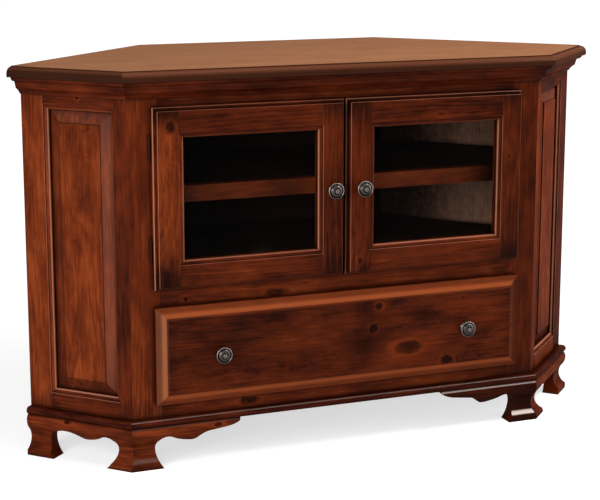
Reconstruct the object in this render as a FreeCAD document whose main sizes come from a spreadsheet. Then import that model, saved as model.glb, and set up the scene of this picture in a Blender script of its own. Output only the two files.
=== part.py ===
import FreeCAD, Part
import math
import os
import re

import Sketcher

# A corner television cabinet in knotty cherry. It stands on the floor at z = 0 and faces -Y, with the
# origin under the middle of its plan. The plan has a long front, two short sides turned back from it,
# two wall edges square to those sides and a flat at the corner. All lengths are in millimetres.

DIMENSIONS = {
    # Plan of the carcase, measured on its outer faces.
    "front_width": 850.0,
    "side_length": 228.0,
    "side_angle": 45.0,
    "back_width": 540.0,
    "frame_thickness": 20.0,
    "back_thickness": 6.0,
    "post_width": 36.0,
    # Heights from the floor up.
    "foot_height": 82.0,
    "base_thickness": 14.0,
    "bottom_rail_width": 41.0,
    "drawer_opening_height": 163.0,
    "middle_rail_width": 59.0,
    "door_opening_height": 319.0,
    "top_rail_width": 62.0,
    "top_thickness": 20.0,
    # Top board: overhangs, rounded edge and the small step above the round.
    "top_overhang": 38.0,
    "top_back_overhang": 4.0,
    "top_round": 12.5,
    "top_ledge": 1.6,
    "top_step": 1.8,
    # Mouldings and ogee feet.
    "crown_height": 34.0,
    "crown_reach": 31.0,
    "base_reach": 16.5,
    "base_inner": 45.0,
    "foot_reach": 17.5,
    "foot_inner": 18.0,
    "bracket_length": 210.0,
    # Frames: stiles, rails and the stuck moulding on their inner edges.
    "front_stile_width": 57.0,
    "side_front_stile_width": 35.0,
    "side_rear_stile_width": 57.0,
    "side_top_rail_width": 61.0,
    "side_bottom_rail_width": 41.0,
    "sticking_width": 9.0,
    "sticking_drop": 2.5,
    "sticking_lip": 9.0,
    "sticking_round": 6.0,
    "arris_round": 1.5,
    # Raised side panels.
    "panel_tongue": 5.0,
    "panel_play": 0.4,
    "panel_clearance": 0.8,
    "panel_bevel": 24.0,
    "panel_field_drop": 3.0,
    "panel_field_step": 2.0,
    # Doors and their glass.
    "overlay": 12.7,
    "door_thickness": 22.0,
    "door_stile_width": 57.0,
    "door_rail_width": 57.0,
    "door_meeting_gap": 3.0,
    "edge_inset": 6.5,
    "edge_lip": 10.0,
    "edge_round": 4.0,
    "glass_thickness": 3.0,
    "glass_clearance": 0.8,
    "stop_reveal": 1.0,
    # Hinges.
    "hinge_length": 45.0,
    "hinge_inset": 76.0,
    "hinge_leaf": 1.2,
    "leaf_clearance": 0.2,
    "barrel_radius": 2.6,
    "barrel_clearance": 0.4,
    "pin_radius": 1.3,
    "pin_clearance": 0.05,
    "pin_tip": 1.6,
    "door_leaf_width": 28.0,
    "frame_leaf_depth": 14.0,
    # Knobs.
    "knob_diameter": 32.0,
    "knob_length": 26.0,
    "drawer_knob_spacing": 512.0,
    # Drawer, its slides and the partitions that carry them.
    "drawer_front_thickness": 22.0,
    "drawer_bevel": 21.0,
    "drawer_bevel_drop": 8.5,
    "drawer_field_step": 1.8,
    "box_thickness": 13.0,
    "box_floor_gap": 16.0,
    "box_head_gap": 17.0,
    "box_tail": 6.0,
    "box_bottom_thickness": 6.0,
    "box_bottom_rise": 10.0,
    "partition_thickness": 18.0,
    "partition_clearance": 0.6,
    "slide_thickness": 12.7,
    "slide_height": 45.0,
    "slide_metal": 1.4,
    "slide_clearance": 0.6,
    "slide_setback": 4.0,
    "slide_end_gap": 20.0,
    # Boards inside the carcase.
    "board_thickness": 18.0,
    "divider_drop": 4.0,
    "shelf_rise": 176.0,
    "shelf_thickness": 19.0,
    "shelf_setback": 25.0,
    "shelf_clearance": 2.0,
    "shelf_edge_height": 31.0,
    "shelf_edge_thickness": 20.0,
    "cleat_width": 20.0,
    "cleat_height": 18.0,
    "cleat_inset": 12.0,
    "cable_hole_diameter": 60.0,
    "cable_hole_rise": 100.0,
    # How far every cutting outline runs past the wood that it cuts.
    "cut_overrun": 5.0,
}

# Sizes that follow from the driving dimensions.
WORKED = {
    "half_front": "front_width / 2",
    "side_run": "side_length * cos(side_angle)",
    "side_rise": "side_length * sin(side_angle)",
    "half_body": "half_front + side_run",
    "mitre": "tan(side_angle / 2)",
    "body_depth": "side_rise + (half_body - back_width / 2) / tan(side_angle)",
    "door_standoff": "2 * hinge_leaf + leaf_clearance",
    "front_reach": "max(top_overhang; door_standoff + door_thickness + knob_length)",
    "front_y": "(front_reach - body_depth - top_back_overhang) / 2",
    "back_y": "front_y + body_depth",
    "body_z": "foot_height + base_thickness",
    "drawer_z": "body_z + bottom_rail_width",
    "middle_z": "drawer_z + drawer_opening_height",
    "door_z": "middle_z + middle_rail_width",
    "top_rail_z": "door_z + door_opening_height",
    "body_top": "top_rail_z + top_rail_width",
    "body_height": "body_top - body_z",
    "half_opening": "half_front - front_stile_width",
    "lip_back": "sticking_drop + sticking_lip",
    "door_x": "front_stile_width - overlay",
    "door_width": "half_opening + overlay - door_meeting_gap / 2",
    "door_height": "door_opening_height + 2 * overlay",
    "door_stile_core": "door_stile_width - sticking_width",
    "door_rail_core": "door_rail_width - sticking_width",
    "door_face": "-(door_standoff + door_thickness)",
    "barrel_x": "door_x - barrel_radius - barrel_clearance",
    "leaf_seat": "barrel_radius + leaf_clearance",
    "knuckle": "hinge_length / 3",
    "divider_top": "door_z - divider_drop",
    "divider_bottom": "divider_top - board_thickness",
    "shelf_top": "divider_top + shelf_rise",
    "shelf_bottom": "shelf_top - shelf_thickness",
    "shelf_front": "frame_thickness + shelf_setback",
    "cleat_z": "shelf_bottom - cleat_height",
    "partition_reach": "side_rise + (half_body - half_opening - partition_thickness) / tan(side_angle)"
                       " - back_thickness / sin(side_angle) - partition_clearance",
    "slide_length": "partition_reach - slide_setback - slide_end_gap",
    "slide_z": "drawer_z + box_floor_gap + box_height / 2",
    "slide_middle_half": "slide_height / 2 - slide_metal - slide_clearance",
    "slide_inner_half": "slide_middle_half - slide_metal - slide_clearance",
    "slide_flange": "slide_thickness - slide_metal - slide_clearance",
    "slide_inner_lip": "2 * (slide_metal + slide_clearance)",
    "box_height": "drawer_opening_height - box_floor_gap - box_head_gap",
    "box_depth": "door_standoff + slide_setback + slide_length + box_tail",
    "box_half_width": "half_opening - slide_thickness",
    "drawer_front_height": "drawer_opening_height + 2 * overlay",
    "drawer_front_width": "2 * (half_opening + overlay)",
}

# Outlines as shares of the piece that they shape. In each row the third item, where there is one, bows
# the edge that leaves the point: the tangent of a quarter of its sweep, positive when it turns left.
QUARTER_SHARE = math.tan(math.pi / 8)
CROWN_SHARES = ((0.10, 0.0, 0.12), (0.39, 0.29), (0.50, 0.35), (0.63, 0.74, -0.35), (1.0, 0.94), (1.0, 1.0))
FOOT_SHARES = ((1.0, 0.0), (1.0, 0.13, 0.30), (0.13, 0.41, 0.18), (0.51, 0.63, -0.19), (0.94, 0.87, -0.24),
               (0.63, 1.0))
FRONT_SCROLL_SHARES = ((0.267, 0.0, -0.17), (0.200, 0.463, -0.60), (0.362, 0.707, 0.11),
                       (0.543, 0.573, 0.24), (0.600, 0.634, -0.20), (0.714, 0.780), (0.886, 0.837, 0.06),
                       (0.981, 0.915, 0.30))
SIDE_SCROLL_SHARES = ((0.215, 0.0, -0.23), (0.132, 0.476, -0.58), (0.272, 0.695, 0.12),
                      (0.425, 0.561, 0.17), (0.491, 0.610, -0.19), (0.658, 0.713, -0.07),
                      (0.754, 0.634, -0.30), (0.798, 0.439, -0.17), (0.737, 0.0))
KNOB_SHARES = ((0.0, 0.0), (0.56, 0.0), (0.56, 0.06, -0.20), (0.36, 0.26), (0.36, 0.38, -0.25),
               (0.88, 0.60, 0.15), (1.0, 0.70), (1.0, 0.76, 0.35), (0.90, 0.82), (0.80, 0.78),
               (0.74, 0.82, 0.16), (0.40, 0.95), (0.34, 0.92), (0.29, 0.97, 0.30), (0.22, 1.0),
               (0.0, 1.0))

X_AXIS = (1, 0, 0)
Y_AXIS = (0, 1, 0)
Z_AXIS = (0, 0, 1)

doc = FreeCAD.newDocument("corner_cabinet")
dims = doc.addObject("Spreadsheet::Sheet", "dims")
worked = doc.addObject("Spreadsheet::Sheet", "worked")
nodes = []


def expand(text):
    """Point every size named in an expression at its cell."""
    def cell(match):
        name = match.group(0)
        if name in DIMENSIONS:
            return "dims." + name
        return "worked." + name if name in WORKED else name
    return re.sub(r"[a-z_]+", cell, text)


def fill_sheets():
    """Write the driving sizes as plain numbers, and the sizes worked out from them."""
    for row, (name, size) in enumerate(DIMENSIONS.items(), 1):
        dims.set("A%d" % row, str(size))
        dims.setAlias("A%d" % row, name)
    for row, name in enumerate(WORKED, 1):
        worked.setAlias("A%d" % row, name)
    for row, formula in enumerate(WORKED.values(), 1):
        worked.set("A%d" % row, "=" + expand(formula))
    doc.recompute()


def value(text):
    """Give the present value of an expression."""
    return float(dims.evalExpression(expand(text)))


def bind(item, prop, text):
    """Tie one property of a document object to an expression."""
    item.setExpression(prop, expand(text))


def vector(x, y, z):
    return "create(<<vector>>; %s; %s; %s)" % (x, y, z)


def turn(axis, angle):
    return "create(<<rotation>>; %s; %s)" % (vector(*axis), angle)


def pose(at, rotation):
    return "create(<<placement>>; %s; %s)" % (vector(*at), rotation)


# Each wall's frame has x along the outer face, y into the cabinet and z up.
PLAN = pose(("0", "0", "0"), turn(Z_AXIS, "0"))
FRONT_WALL = pose(("-half_front", "front_y", "0"), turn(Z_AXIS, "0"))
RIGHT_WALL = pose(("half_front", "front_y", "0"), turn(Z_AXIS, "side_angle"))
UPRIGHT = turn(Z_AXIS, "0")
DEPTHWISE = turn(Z_AXIS, "90")
OUTWARD = turn(X_AXIS, "90")


def lying(angle):
    """A frame member's turn in its wall: 0 hangs from the top, -90 stands on the left edge, 180 lies on
    the bottom and 90 hangs on the right edge, always with its outer edge outwards and its face forwards."""
    return turn(Y_AXIS, angle) + " * " + turn(X_AXIS, "-90")


def place(item, at, wall=PLAN, rotation=UPRIGHT):
    bind(item, "Placement", wall + " * " + pose(at, rotation))
    return item


def keep(item):
    """Hand in a piece under its own name."""
    nodes.append(item)


def add_rules(sketch, rules, texts):
    """Add dimensions to a sketch, each tied to its expression."""
    for number, text in zip(sketch.addConstraint(rules), texts):
        bind(sketch, "Constraints[%d]" % number, text)


def add_circle(sketch, x, y, radius):
    """Draw one circle bound to the sheet."""
    size = value(radius)
    centre = FreeCAD.Vector(value(x), value(y), 0)
    number = sketch.addGeometry(Part.Circle(centre, FreeCAD.Vector(*Z_AXIS), size), False)
    rules = [Sketcher.Constraint("DistanceX", -1, 1, number, 3, centre.x),
             Sketcher.Constraint("DistanceY", -1, 1, number, 3, centre.y),
             Sketcher.Constraint("Radius", number, size)]
    add_rules(sketch, rules, (x, y, radius))


def add_outline(sketch, corners):
    """Draw one closed outline whose corners, and the arcs between them, are bound to the sheet."""
    spots = [FreeCAD.Vector(value(corner[0]), value(corner[1]), 0) for corner in corners]
    first = sketch.GeometryCount
    ends = []
    rules = []
    texts = []
    for index, corner in enumerate(corners):
        following = (index + 1) % len(corners)
        start, end = spots[index], spots[following]
        bow = corner[2] if len(corner) > 2 else 0
        if not bow:
            sketch.addGeometry(Part.LineSegment(start, end), False)
            ends.append((1, 2))
            continue
        chord = end - start
        middle = (start + end) / 2 + FreeCAD.Vector(chord.y, -chord.x, 0) * bow / 2
        points = (start, middle, end) if bow > 0 else (end, middle, start)
        sketch.addGeometry(Part.Arc(*points), False)
        ends.append((1, 2) if bow > 0 else (2, 1))
        factor = (1 + bow * bow) / (4 * abs(bow))
        width = "((%s) - (%s))" % (corners[following][0], corner[0])
        height = "((%s) - (%s))" % (corners[following][1], corner[1])
        rules.append(Sketcher.Constraint("Radius", first + index, factor * chord.Length))
        texts.append("%r * sqrt(%s^2 + %s^2)" % (factor, width, height))
    for index, corner in enumerate(corners):
        tail = ends[index][0]
        rules.append(Sketcher.Constraint("DistanceX", -1, 1, first + index, tail, spots[index].x))
        texts.append(corner[0])
        rules.append(Sketcher.Constraint("DistanceY", -1, 1, first + index, tail, spots[index].y))
        texts.append(corner[1])
    for index in range(len(corners)):
        following = (index + 1) % len(corners)
        sketch.addConstraint(Sketcher.Constraint("Coincident", first + index, ends[index][1],
                                                 first + following, ends[following][0]))
    add_rules(sketch, rules, texts)


def sketch_on(body, role, outlines):
    """Draw outlines on one of the body's own planes; an outline of one row is a circle."""
    sketch = body.newObject("Sketcher::SketchObject", body.Label + "_outline")
    plane = next(item for item in body.Origin.OriginFeatures if item.Role == role)
    sketch.AttachmentSupport = [(plane, "")]
    sketch.MapMode = "FlatFace"
    for outline in outlines:
        if len(outline) == 1:
            add_circle(sketch, *outline[0])
        else:
            add_outline(sketch, outline)
    return sketch


def pad(body, role, outline, length):
    feature = body.newObject("PartDesign::Pad", body.Label + "_pad")
    feature.Profile = sketch_on(body, role, [outline])
    bind(feature, "Length", length)
    return feature


def cut(body, role, outlines):
    """Cut outlines right through a body, both ways from their plane."""
    feature = body.newObject("PartDesign::Pocket", body.Label + "_cut")
    feature.Profile = sketch_on(body, role, outlines)
    feature.Type = "ThroughAll"
    feature.SideType = "Symmetric"
    return feature


def new_body(label):
    body = doc.addObject("PartDesign::Body", label)
    body.Label = label
    return body


def bar(label, length, section, plan_cuts=(), face_cuts=()):
    """A section in y and z, run along x, with cuts seen from above and from the face."""
    body = new_body(label)
    pad(body, "YZ_Plane", section, length)
    for role, outlines in (("XY_Plane", plan_cuts), ("XZ_Plane", face_cuts)):
        if outlines:
            cut(body, role, outlines)
    return body


def slab(label, outline, thickness, low):
    """A level board with the given plan, its underside at height low."""
    body = new_body(label)
    pad(body, "XY_Plane", outline, thickness)
    return place(body, ("0", "0", low))


def board(label, size, at, wall=PLAN, rotation=UPRIGHT):
    item = doc.addObject("Part::Box", label)
    for prop, text in zip(("Length", "Width", "Height"), size):
        bind(item, prop, text)
    item.Label = label
    return place(item, at, wall, rotation)


def mirror(source, label):
    """The same piece on the other side of the middle plane."""
    item = doc.addObject("Part::Mirroring", label)
    item.Source = source
    item.Base = (0, 0, 0)
    item.Normal = X_AXIS
    item.Label = label
    return item


def group(label, members):
    """Several separate solids that share one name."""
    item = doc.addObject("Part::Compound", label)
    item.Links = members
    item.Label = label
    return item


def keep_pair(source, stem):
    """Keep a left piece, or a right one, and its mirror image."""
    other = "left" if source.Label.endswith("right") else "right"
    keep(source)
    keep(mirror(source, "%s_%s" % (stem, other)))


def flip_ends(outline, length):
    """Turn an outline end for end along x."""
    return [("(%s) - (%s)" % (length, corner[0]), corner[1]) + tuple(-bow for bow in corner[2:])
            for corner in outline]


# Corners of the plan, on the left, a given way in from the outer faces.

def front_side(front, side):
    x = "-half_front + ((%s) - (%s) * cos(side_angle)) / sin(side_angle)" % (side, front)
    return x, "front_y + (%s)" % front


def side_wall(side, wall):
    x = "-half_body + (%s) * cos(side_angle) + (%s) * sin(side_angle)" % (wall, side)
    return x, "front_y + side_rise - (%s) * sin(side_angle) + (%s) * cos(side_angle)" % (wall, side)


def wall_back(wall, back):
    along = "(body_depth - (%s) - side_rise + (%s) * sin(side_angle)) / cos(side_angle)" % (back, wall)
    return side_wall(along, wall)


def post_corners():
    """The rear post: on the wall, in the corner, on the back and inside."""
    inner = "back_thickness + post_width"
    x, y = wall_back(inner, inner)
    on_wall = ("%s - post_width * cos(side_angle)" % x, "%s + post_width * sin(side_angle)" % y)
    return [on_wall, wall_back("back_thickness", "back_thickness"), (x, "%s + post_width" % y), (x, y)]


def across(left_half):
    """Close a left half outline with its mirror image."""
    return list(left_half) + [("-(%s)" % x, y) for x, y in reversed(left_half)]


def plan_outline(front, side, wall, back):
    return across([front_side(front, side), side_wall(side, wall), wall_back(wall, back)])


def make_top():
    """The top board: rounded along the front and sides, with a small step above the round."""
    top = slab("top_board", plan_outline("-top_overhang", "-top_overhang", "-top_back_overhang",
                                         "-top_back_overhang"), "top_thickness - top_step", "body_top")
    base = top.Tip
    doc.recompute()
    rear = value(side_wall("-top_overhang", "-top_back_overhang")[1])
    highest = base.Shape.BoundBox.ZMax
    shown = []
    for number, edge in enumerate(base.Shape.Edges, 1):
        middle = edge.CenterOfMass
        if edge.BoundBox.ZMin > highest / 2 and middle.z > highest / 2 and middle.y < rear:
            shown.append("Edge%d" % number)
    fillet = top.newObject("PartDesign::Fillet", "top_edge_round")
    fillet.Base = (base, shown)
    bind(fillet, "Radius", "top_round")
    inset = "top_round + top_ledge - top_overhang"
    step = plan_outline(inset, inset, "-top_back_overhang", "-top_back_overhang")
    pad(top, "XY_Plane", step, "top_thickness")
    keep(top)


def mitre_cut(reach, inner):
    """What a corner mitre removes from the front end of a moulding that reaches out past the wall."""
    near = "-((%s) + cut_overrun)" % reach
    far = "(%s) + cut_overrun" % inner
    return [("-cut_overrun * mitre", near), ("((%s) + (%s) + cut_overrun) * mitre" % (reach, inner), far),
            ("-cut_overrun", far), ("-cut_overrun", near)]


def moulding(label, section, reach, inner, wall, length, low, both_ends=False, face_cut=None):
    """A length of moulding on one wall, mitred at its front corner or at both ends."""
    spare = "(%s) * mitre" % reach
    whole = "(%s) + %s%s" % (length, "2 * " if both_ends else "", spare)
    cuts = [mitre_cut(reach, inner)]
    if both_ends:
        cuts.append(flip_ends(cuts[0], whole))
    shift = [[("(%s) + %s" % (corner[0], spare),) + corner[1:] for corner in face_cut]] if face_cut else ()
    body = bar(label, whole, section, cuts, shift)
    return place(body, ("-" + spare, "0", low), wall)


def make_mouldings():
    """The crown under the top and the nosed base that the carcase stands on."""
    crown = [("0", "0")]
    crown += [("-crown_reach * %r" % row[0], "crown_height * %r" % row[1]) + row[2:]
              for row in CROWN_SHARES]
    crown += [("0", "crown_height")]
    nose = "-(base_reach - base_thickness / 2)"
    base = [(nose, "base_thickness", QUARTER_SHARE), ("-base_reach", "base_thickness / 2", QUARTER_SHARE),
            (nose, "0"), ("base_inner", "0"), ("base_inner", "base_thickness")]
    for stem, section, reach, inner, low in (
            ("crown", crown, "crown_reach", "0", "body_top - crown_height"),
            ("base_moulding", base, "base_reach", "base_inner", "foot_height")):
        keep(moulding(stem + "_front", section, reach, inner, FRONT_WALL, "front_width", low, True))
        right = moulding(stem + "_right", section, reach, inner, RIGHT_WALL, "side_length", low)
        keep(group(stem + "_sides", [right, mirror(right, stem + "_left")]))


def make_feet():
    """Ogee feet: a scrolled bracket each way from the front corners, the side ones with a rear foot."""
    section = [("foot_inner", "0")]
    section += [("-foot_reach * %r" % row[0], "foot_height * %r" % row[1]) + row[2:] for row in FOOT_SHARES]
    section += [("foot_inner", "foot_height")]
    scroll = [("bracket_length * %r" % row[0], "foot_height * %r" % row[1]) + row[2:]
              for row in FRONT_SCROLL_SHARES]
    toe = scroll[0][0]
    scroll += [("bracket_length", "foot_height"), ("bracket_length + cut_overrun", "foot_height"),
               ("bracket_length + cut_overrun", "-cut_overrun"), (toe, "-cut_overrun")]
    keep_pair(moulding("foot_bracket_left", section, "foot_reach", "foot_inner", FRONT_WALL,
                       "bracket_length", "0", face_cut=scroll), "foot_bracket")
    arch = [("side_length * %r" % row[0], "foot_height * %r" % row[1]) + row[2:]
            for row in SIDE_SCROLL_SHARES]
    arch += [(arch[-1][0], "-cut_overrun"), (arch[0][0], "-cut_overrun")]
    keep_pair(moulding("foot_apron_right", section, "foot_reach", "foot_inner", RIGHT_WALL,
                       "side_length", "0", face_cut=arch), "foot_apron")


def stuck_edge(width):
    """The moulded inner edge of a frame member, from its face back to the lip."""
    core = "(%s) - sticking_width" % width
    return [("%s - arris_round" % core, "0", QUARTER_SHARE), (core, "arris_round"), (core, "sticking_drop"),
            ("(%s) - sticking_round" % width, "sticking_drop", QUARTER_SHARE),
            (width, "sticking_drop + sticking_round"), (width, "lip_back"), (core, "lip_back")]


def lipped_edge(thickness):
    """A door's outer edge: a rounded lip and a step up to the face."""
    lip = "(%s) - edge_lip" % thickness
    return [("0", thickness), ("0", "%s + edge_round" % lip, QUARTER_SHARE), ("edge_round", lip),
            ("edge_inset", lip), ("edge_inset", "arris_round", QUARTER_SHARE),
            ("edge_inset + arris_round", "0")]


def sticking_cuts(width, length, starts):
    """Mitre the stuck edge at both ends, each a given way in along the member."""
    core = "(%s) - sticking_width" % width
    past = "(%s) + cut_overrun" % width
    cuts = [[(start, core), ("(%s) + sticking_width + cut_overrun" % start, past), ("-cut_overrun", past),
             ("-cut_overrun", core)] for start in starts]
    return [cuts[0], flip_ends(cuts[1], length)]


def edge_cuts(edge, length):
    """Carry an edge profile, given from its outermost point to the face, round both ends of a piece."""
    outline = edge + [(edge[-1][0], "-cut_overrun"), ("-cut_overrun", "-cut_overrun"),
                      ("-cut_overrun", edge[0][1])]
    return [outline, flip_ends(outline, length)]


def make_side_frame():
    """A side: two stiles, two rails and a raised panel let into their grooves."""
    groove = "lip_back + panel_tongue + panel_play"
    thickness = "frame_thickness"

    def section(width, outer):
        back = [("(%s) - sticking_width" % width, groove), (width, groove), (width, thickness)]
        return outer + stuck_edge(width) + back

    square = [("0", thickness), ("0", "0")]
    mitred = [("frame_thickness * mitre", thickness), ("0", "0")]
    low, high = "side_bottom_rail_width - sticking_width", "side_top_rail_width - sticking_width"
    near, far = "side_front_stile_width - sticking_width", "side_rear_stile_width - sticking_width"
    opening = "side_length - (%s) - (%s)" % (near, far)
    rows = (
        ("side_front_stile", "side_front_stile_width", "body_height", mitred, (low, high), "-90",
         ("0", "0", "body_z")),
        ("side_rear_stile", "side_rear_stile_width", "body_height", square, (high, low), "90",
         ("side_length", "0", "body_top")),
        ("side_top_rail", "side_top_rail_width", opening, square, ("0", "0"), "0", (near, "0", "body_top")),
        ("side_bottom_rail", "side_bottom_rail_width", opening, square, ("0", "0"), "180",
         ("side_length - (%s)" % far, "0", "body_z")),
    )
    for stem, width, length, outer, starts, angle, at in rows:
        piece = bar(stem + "_right", length, section(width, outer), sticking_cuts(width, length, starts))
        keep_pair(place(piece, at, RIGHT_WALL, lying(angle)), stem)
    width = "%s - 2 * panel_clearance" % opening
    height = "body_height - (%s) - (%s) - 2 * panel_clearance" % (low, high)
    tongue = "sticking_width - panel_clearance"
    field = "%s + panel_bevel" % tongue
    edge = [("0", "lip_back"), (tongue, "lip_back"), (field, "panel_field_drop + panel_field_step"),
            (field, "panel_field_drop + arris_round", QUARTER_SHARE),
            ("%s + arris_round" % field, "panel_field_drop")]
    panel = raised_piece("side_panel_right", height, width, edge, "lip_back + panel_tongue")
    at = ("%s + panel_clearance" % near, "0", "body_z + %s + panel_clearance" % low)
    keep_pair(place(panel, at, RIGHT_WALL, lying("-90")), "side_panel")


def raised_piece(label, length, width, edge, back):
    """A raised panel: one edge profile carried round all four sides."""
    other = [("(%s) - (%s)" % (width, point[0]), point[1]) for point in reversed(edge)]
    bows = [point[2:] for point in reversed(edge)][1:] + [()]
    other = [point + bow for point, bow in zip(other, bows)]
    section = [("0", back)] + edge + other + [(width, back)]
    return bar(label, length, section, face_cuts=edge_cuts(edge, length))


def make_face_frame():
    """The front frame: two stiles mitred to the sides, and three rails."""
    stile = bar("front_stile_left", "body_height", [("0", "0"), ("front_stile_width", "0"),
                ("front_stile_width", "frame_thickness"), ("frame_thickness * mitre", "frame_thickness")])
    keep_pair(place(stile, ("0", "0", "body_z"), FRONT_WALL, lying("-90")), "front_stile")
    for label, width, low in (("front_bottom_rail", "bottom_rail_width", "body_z"),
                              ("front_middle_rail", "middle_rail_width", "middle_z"),
                              ("front_top_rail", "top_rail_width", "top_rail_z")):
        keep(board(label, ("2 * half_opening", "frame_thickness", width),
                   ("front_stile_width", "0", low), FRONT_WALL))


def make_carcase():
    """Back panels, rear posts, the boards across the carcase and the shelf on its cleats."""
    outer_corner = wall_back("0", "0")
    inner_corner = wall_back("back_thickness", "back_thickness")
    wing = [side_wall("frame_thickness", "0"), outer_corner, inner_corner,
            side_wall("frame_thickness", "back_thickness")]
    keep_pair(slab("back_panel_left", wing, "body_height", "body_z"), "back_panel")
    middle = slab("back_panel_middle", across([inner_corner, outer_corner]), "body_height", "body_z")
    cut(middle, "XZ_Plane", [[("0", "divider_top - body_z + cable_hole_rise", "cable_hole_diameter / 2")]])
    keep(middle)
    post = slab("rear_post_left", post_corners(), "body_top", "0")
    keep(group("rear_posts", [post, mirror(post, "rear_post_right")]))
    on_wall, _, on_back, inside = post_corners()
    inner = across([front_side("frame_thickness", "frame_thickness"),
                    side_wall("frame_thickness", "back_thickness"), on_wall, inside, on_back])
    keep(slab("bottom_board", inner, "board_thickness", "body_z"))
    keep(slab("divider_board", inner, "board_thickness", "divider_bottom"))
    side = "frame_thickness + shelf_clearance"
    edge = "shelf_front + shelf_edge_thickness"
    keep(slab("shelf_board", plan_outline(edge, side, "back_thickness + shelf_clearance",
                                          "back_thickness + post_width + shelf_clearance"),
              "shelf_thickness", "shelf_bottom"))
    nosing = "%s + cleat_width" % side
    keep(slab("shelf_edge", across([front_side("shelf_front", nosing), front_side(edge, nosing)]),
              "shelf_edge_height", "shelf_top - shelf_edge_height"))
    on_side = board("shelf_cleat_right", ("side_length - 2 * cleat_inset", "cleat_width", "cleat_height"),
                    ("cleat_inset", "frame_thickness", "cleat_z"), RIGHT_WALL)
    clear = "frame_thickness + cleat_width + cleat_inset"
    past_post = "back_thickness + post_width"
    reach = "(body_depth - side_rise - (%s) * (1 - sin(side_angle))) / cos(side_angle)" % past_post
    run = "%s - (%s) - cleat_inset" % (reach, clear)
    behind = board("wall_cleat_right", ("cleat_width", run, "cleat_height"),
                   ("side_length - back_thickness - cleat_width", clear, "cleat_z"), RIGHT_WALL)
    keep(group("shelf_cleats", [on_side, mirror(on_side, "shelf_cleat_left"),
                                behind, mirror(behind, "wall_cleat_left")]))
    floor = "body_z + board_thickness"
    tall = "divider_bottom - (%s)" % floor
    partition = board("drawer_partition_left",
                      ("partition_thickness", "partition_reach - frame_thickness", tall),
                      ("front_stile_width - partition_thickness", "frame_thickness", floor), FRONT_WALL)
    keep(group("drawer_partitions", [partition, mirror(partition, "drawer_partition_right")]))


def make_knob(label, at):
    """A turned knob: foot, waist, ringed head and centre button."""
    body = new_body(label)
    profile = [("knob_diameter / 2 * %r" % row[0], "knob_length * %r" % row[1]) + row[2:]
               for row in KNOB_SHARES]
    feature = body.newObject("PartDesign::Revolution", label + "_turned")
    sketch = sketch_on(body, "XZ_Plane", [profile])
    feature.Profile = sketch
    feature.ReferenceAxis = (sketch, ["V_Axis"])
    return place(body, at, FRONT_WALL, OUTWARD)


def make_doors():
    """A pair of glazed doors: stiles, rails, glass, the stops behind it and a knob."""
    def section(width):
        return lipped_edge("door_thickness") + stuck_edge(width) + [
            ("(%s) - sticking_width" % width, "door_thickness")]

    base = "door_z - overlay"
    high = base + " + door_height"
    right = "door_x + door_width"
    between = "door_width - 2 * door_stile_core"
    ends = ("door_rail_core", "door_rail_core")
    lip = edge_cuts(lipped_edge("door_thickness")[1:], "door_height")
    rows = (
        ("hinge_stile", "door_stile_width", "door_height", ends, lip, "-90", ("door_x", "door_face", base)),
        ("meeting_stile", "door_stile_width", "door_height", ends, lip, "90", (right, "door_face", high)),
        ("top_rail", "door_rail_width", between, ("0", "0"), (), "0",
         ("door_x + door_stile_core", "door_face", high)),
        ("bottom_rail", "door_rail_width", between, ("0", "0"), (), "180",
         (right + " - door_stile_core", "door_face", base)),
    )
    for stem, width, length, starts, face_cuts, angle, at in rows:
        mitres = sticking_cuts(width, length, starts)
        piece = bar("door_left_" + stem, length, section(width), mitres, face_cuts)
        keep_door(place(piece, at, FRONT_WALL, lying(angle)))
    tall = "door_height - 2 * door_rail_core"
    keep_door(board("door_left_glass", ("%s - 2 * glass_clearance" % between, "glass_thickness",
                                        "%s - 2 * glass_clearance" % tall),
                    ("door_x + door_stile_core + glass_clearance", "door_face + lip_back",
                     "%s + door_rail_core + glass_clearance" % base), FRONT_WALL))
    keep_door(group("door_left_glass_stops", glass_stops(base, between, tall)))
    keep_door(make_knob("door_left_knob", (right + " - door_stile_width / 2", "door_face",
                                           base + " + door_height / 2")))


def glass_stops(base, between, tall):
    """Four strips that hold the glass against the lip."""
    width = "sticking_width - stop_reveal"
    depth = "door_thickness - lip_back - glass_thickness"
    y = "door_face + lip_back + glass_thickness"
    x = "door_x + door_stile_core"
    z = base + " + door_rail_core"
    upright = (width, depth, tall)
    level = ("%s - 2 * (%s)" % (between, width), depth, width)
    far = "%s + %s - (%s)" % (x, between, width)
    inset = "%s + %s" % (x, width)
    high = "%s + %s - (%s)" % (z, tall, width)
    return [board("glass_stop_hinge_side", upright, (x, y, z), FRONT_WALL),
            board("glass_stop_meeting_side", upright, (far, y, z), FRONT_WALL),
            board("glass_stop_low", level, (inset, y, z), FRONT_WALL),
            board("glass_stop_high", level, (inset, y, high), FRONT_WALL)]


def keep_door(piece):
    """Keep a piece of the left door and its twin on the right door."""
    keep(piece)
    keep(mirror(piece, piece.Label.replace("left", "right")))


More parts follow.
